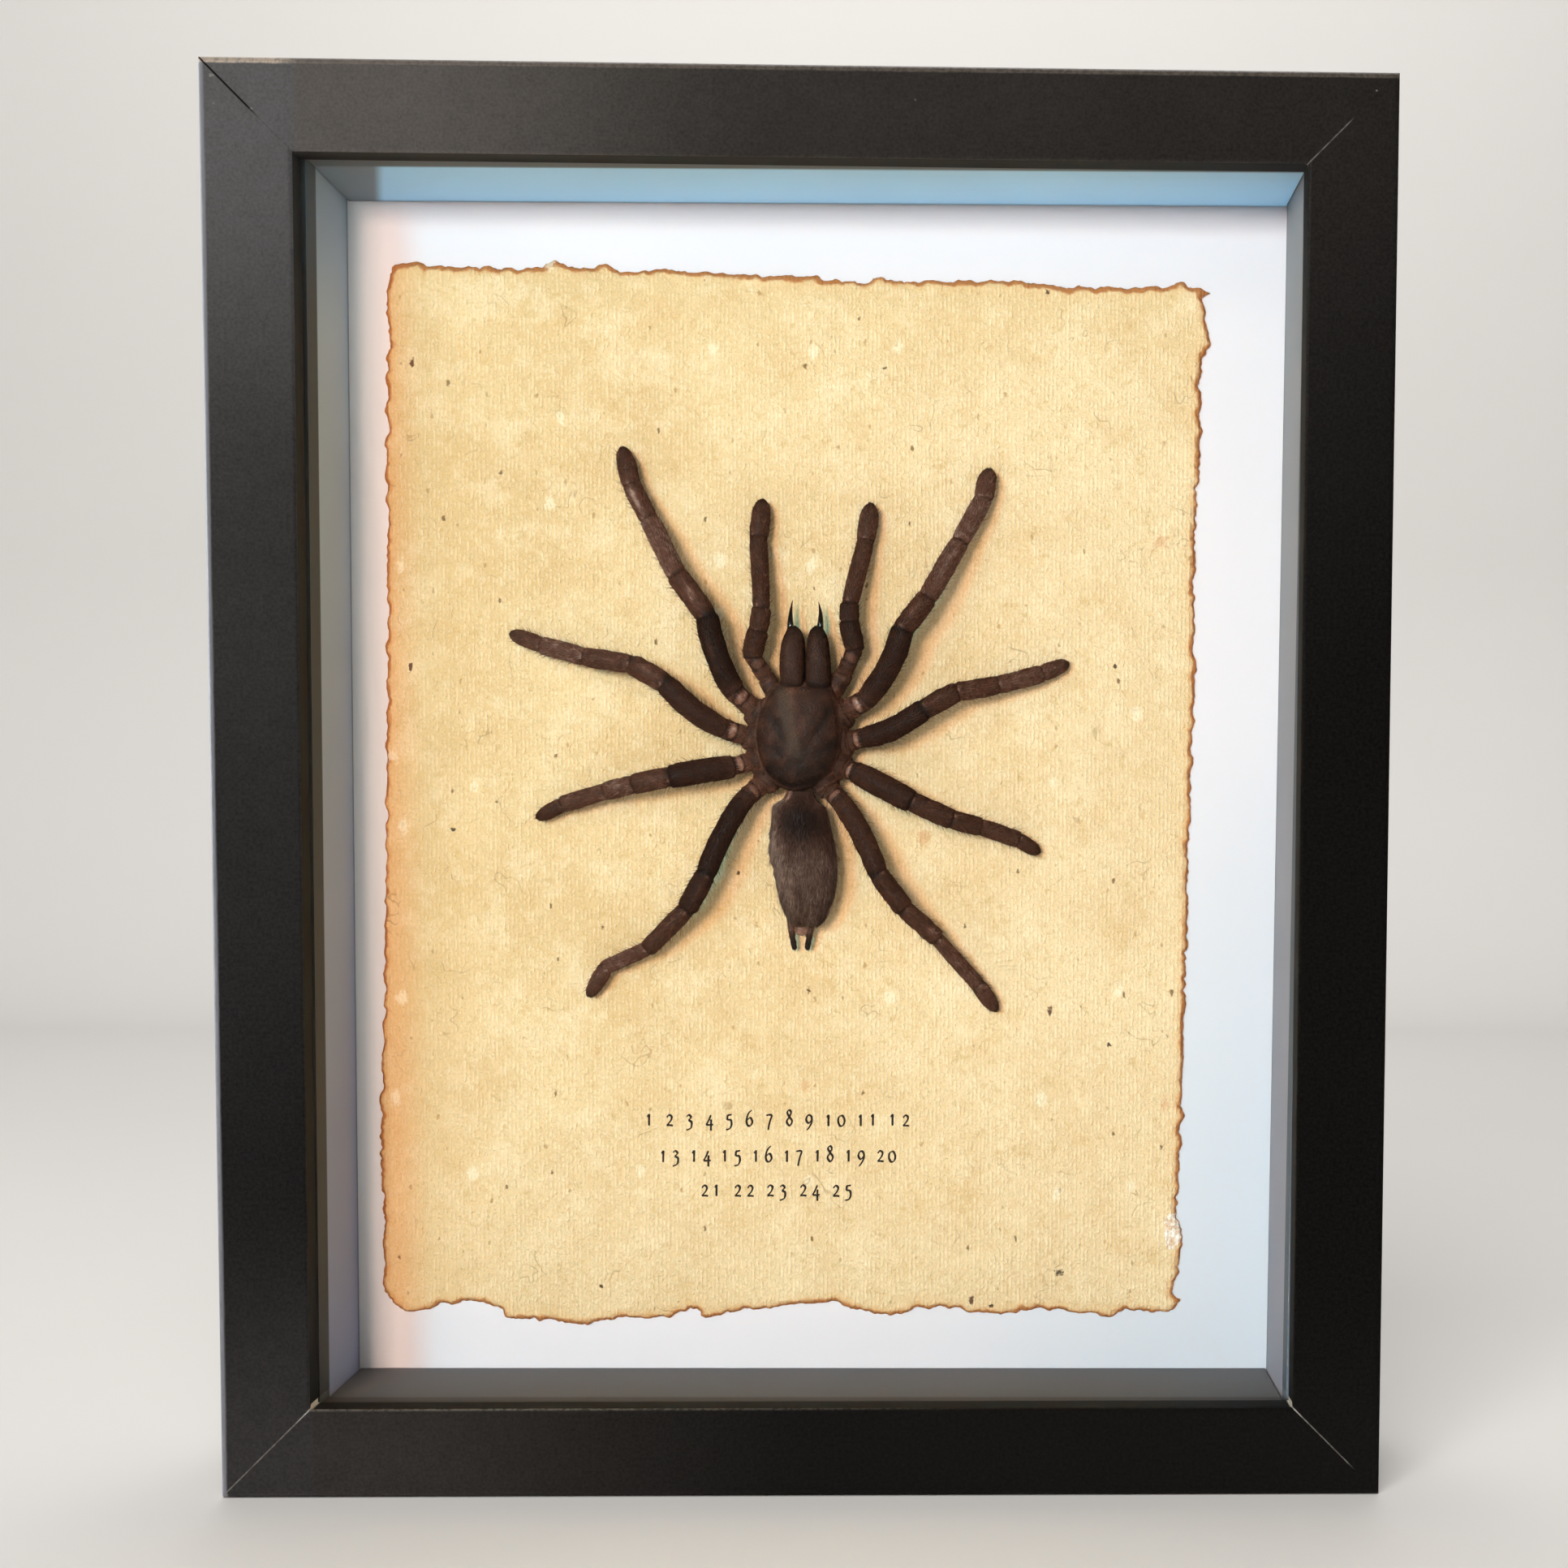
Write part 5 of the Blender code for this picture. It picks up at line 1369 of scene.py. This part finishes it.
def abdomen(tree):
    """The dried abdomen: long hair combed back over a creased skin, with two jointed spinnerets."""
    shell = Shell()
    stations = skin_stations(ABDOMEN_SIDES, 0.955, 5)

    def describe(number, angle):
        z = stations[number][0].z / MM
        crease = 0.03 * rough(angle * 2.2, z * 0.1, 3.0)
        crease += 0.018 * rough(angle * 7.0, z * 0.22, 6.0)
        crease -= 0.05 * hump(angle, 1.5, 0.35) * (hump(z, 130.6, 0.5) + hump(z, 125.2, 0.5))
        crease += 0.05 * hump(angle, 1.5, 0.3) * (hump(z, 131.7, 0.5) + hump(z, 126.2, 0.5))
        velvet = hump(z, 134.2, 4.6) * hump(angle, -0.1, 0.95)
        # Painted light on the left flank, painted shade on the right flank.
        pale = hump(z, 130.0, 6.5) * hump(angle, 0.95, 0.35)
        pale += 0.5 * hump(z, 120.0, 7.0) * hump(angle, 0.7, 0.4)
        tone = 0.69 - 0.74 * velvet + 0.3 * pale - 0.16 * hump(angle, -1.2, 0.5)
        tone += 0.08 * rough(angle * 3, z * 0.2, 1.0)
        waist = 1.0 if z < 137.8 else 0.3
        # At the waist, pale bands on the left are painted highlights.
        if z > 138.4:
            tone = 0.3 + 0.62 * hump(angle, 0.75, 0.22) + 0.35 * hump(angle, 1.25, 0.25)
        cover = (0.35 + 0.65 * (math.cos(angle) > -0.35)) * waist
        fur = (1.0 - 0.35 * hump(z, 135.0, 4.0)) * (0.8 if z < 116 else 1.0)
        return 1 + crease, max(tone, 0.0), cover, fur

    shell.tube(stations, 56, describe, 2.25, Vector((0, 0, -1)))
    for bends in SPINNERETS:
        line = catmull([tuple(place(spot)) for spot in bends], steps=10)
        count = len(line) - 1
        joints = []
        for step, spot in enumerate(line):
            along = step / count
            size = 0.86 - 0.34 * along - 0.12 * hump(along, 0.62, 0.04)
            size *= {count: 0.25, count - 1: 0.62}.get(step, 1.0)
            joints.append((Vector(spot), size * MM, size * MM))

        def tail(number, angle, count=count):
            along = number / count
            return 1.0, 0.62 - 0.55 * min(max(along * 4 - 1.7, 0.0), 1.0), 0.35 if along < 0.6 else 0.1, 0.5

        shell.tube(joints, 16, tail)
    # Pale membrane under the tail, between the spinnerets.
    shell.egg(place((-2.75, 111.6, 4.2)), Vector((1.5, 0.8, 1.6)) * MM, 20, 12, 0.93, 0.03, 0.3, (0, 0, -1))
    changes = {
        "coat_length": 1.9 * MM, "coat_lift": 0.15, "coat_mess": 0.12, "coat_clump": 0.3,
        "coat_density": 17e6, "guard_length": 2.6 * MM, "guard_lift": 0.42, "guard_density": 0.7e6,
    }
    furred(shell, "abdomen", tree, 401, **changes)


# Each chelicera from its root to its tip: z and half thickness, then the left and right side of each.
JAW_ROWS = (
    (161.6, 2.3), (162.4, 2.9), (164.4, 3.3), (166.4, 3.5), (168.4, 3.5), (170.2, 3.3), (171.7, 2.9),
    (172.8, 2.4), (173.7, 1.8), (174.4, 1.0),
)
JAW_SIDES = {
    "left": (
        (-6.5, -1.95), (-6.85, -1.85), (-7.0, -1.82), (-7.02, -1.8), (-6.95, -1.8), (-6.75, -1.85),
        (-6.35, -1.98), (-5.9, -2.3), (-5.45, -2.85), (-4.9, -3.7)),
    "right": (
        (-1.55, 3.3), (-1.65, 3.65), (-1.65, 3.6), (-1.6, 3.5), (-1.5, 3.35), (-1.35, 3.15), (-1.2, 2.9),
        (-0.95, 2.55), (-0.55, 2.05), (0.2, 1.4)),
}
JAW_TONES = {"left": 0.36, "right": 0.29}


def jaw(side, tree, seed):
    """One chelicera: flat where it meets the other and the shield, with short hair towards the fang."""
    rows = [(z, *sides, JAW_LIFT, deep) for (z, deep), sides in zip(JAW_ROWS, JAW_SIDES[side])]
    stations = skin_stations(rows, 0.97, 4)
    inner = 1 if side == "left" else -1

    def describe(number, angle):
        z = stations[number][0].z / MM
        seam = hump(angle * inner, 1.45, 0.35)
        ridge = hump(angle, -0.25, 0.35) * hump(z, 169.0, 4.0)
        bump = 0.03 * rough(angle * 2.5, z * 0.4, seed)
        tone = JAW_TONES[side] + 0.16 * ridge - 0.28 * seam
        tone = tone - 0.18 * hump(z, 174.4, 0.7) - 0.25 * hump(z, 161.9, 0.7)
        tone += 0.1 * rough(angle * 3.0, z * 0.7, seed + 3)
        return 1 + bump, max(tone, 0.0), 0.3 + 0.7 * (math.cos(angle) > -0.4), 0.85

    shell = Shell()
    shell.tube(stations, 36, describe, 3.2, Vector((0, 0, 1)))
    changes = {"coat_length": 0.7 * MM, "coat_lift": 0.15, "guard_density": 0.2e6, "guard_length": 1.2 * MM}
    furred(shell, f"chelicera_{side}", tree, seed, **changes)


def fang(side):
    """A curved, tapering spike of black horn, rooted in the chelicera's tip."""
    root, bend, tip = (place(spot) for spot in FANGS[side])
    stations = [(root + Vector((0, 0.0002, -0.0016)), 0.0007, 0.0007)]
    for step in range(19):
        t = step / 18
        radius = FANG_RADIUS * (1.12 - 1.02 * t**1.15) * MM
        stations.append((bowed(root, bend, tip, t), radius, radius))
    shell = Shell()
    shell.tube(stations, 18, lambda number, angle: (1.0, 0.0, 0.0, 0.0))
    dress(shell.make(f"fang_{side}_horn", HORN), slot="black_horn", replaced=(f"fang_{side}",))


# ---------------------------------------------------------------- stage
def backdrop(finish):
    """A pale floor that curves up into a wall behind."""
    profile = [(-2.4, 0.0), (0.8, 0.0)]
    angles = np.linspace(0.1, math.pi / 2, 14)
    profile += [(0.8 + 0.35 * math.sin(a), 0.35 - 0.35 * math.cos(a)) for a in angles]
    profile += [(1.15, 2.2)]
    verts = [(side, y, z - 0.0002) for y, z in profile for side in (-2.2, 2.2)]
    faces = [(2 * k, 2 * k + 1, 2 * k + 3, 2 * k + 2) for k in range(len(profile) - 1)]
    floor = new_piece("pale_sweep", verts, faces, finish)
    floor.visible_glossy = False
    return floor


# ---------------------------------------------------------------- all pieces
photo_camera()
RAILS, FLOOR = frame_rails(black_paint()), backdrop(pale_floor())
# The four walls are one card in lit and shaded copies: the top painted with blue light, the bottom in painted
# shade.
LININGS = {
    "lining_left": lining_card(
        "lining_left_card", (0.07, 0.07, 0.07), (0.355, 0.39, 0.56), (-0.007, -0.0062),
        high=(0.48, 0.56, 0.64)),
    "lining_right": lining_card(
        "lining_right_card", (0.08, 0.085, 0.09), (0.285, 0.262, 0.285), high=(0.27, 0.258, 0.255)),
    "lining_top": lining_card(
        "lining_top_card", (0.13, 0.135, 0.14), (0.22, 0.23, 0.24), (-0.009, -0.0076), (0.48, 0.76, 0.99)),
    "lining_bottom": lining_card("lining_bottom_card", (0.075, 0.066, 0.062), (0.122, 0.119, 0.12)),
}
KEPT = {"glass_pane": clear_glass(), **LININGS, "backing_card": white_card(), "back_board": fibreboard()}
STEEL = zinc_steel()
KEPT.update({name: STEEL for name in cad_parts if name.startswith("tab_") or name == "hanger_plate"})
for node_name, node_finish in KEPT.items():
    keep_node(node_name, node_finish)
paper_sheet(handmade_paper())
label(pen_ink())
studio(RAILS, FLOOR)
SKIN, HAIR, HORN = spider_skin(), spider_hair(), fang_horn()
COAT = hair_tree()
cephalothorax(COAT)
abdomen(COAT)
for order, limb_name in enumerate(LIMBS):
    limb(limb_name, COAT, 11 + order)
for order, jaw_side in enumerate(JAW_SIDES):
    jaw(jaw_side, COAT, 501 + order)
    fang(jaw_side)
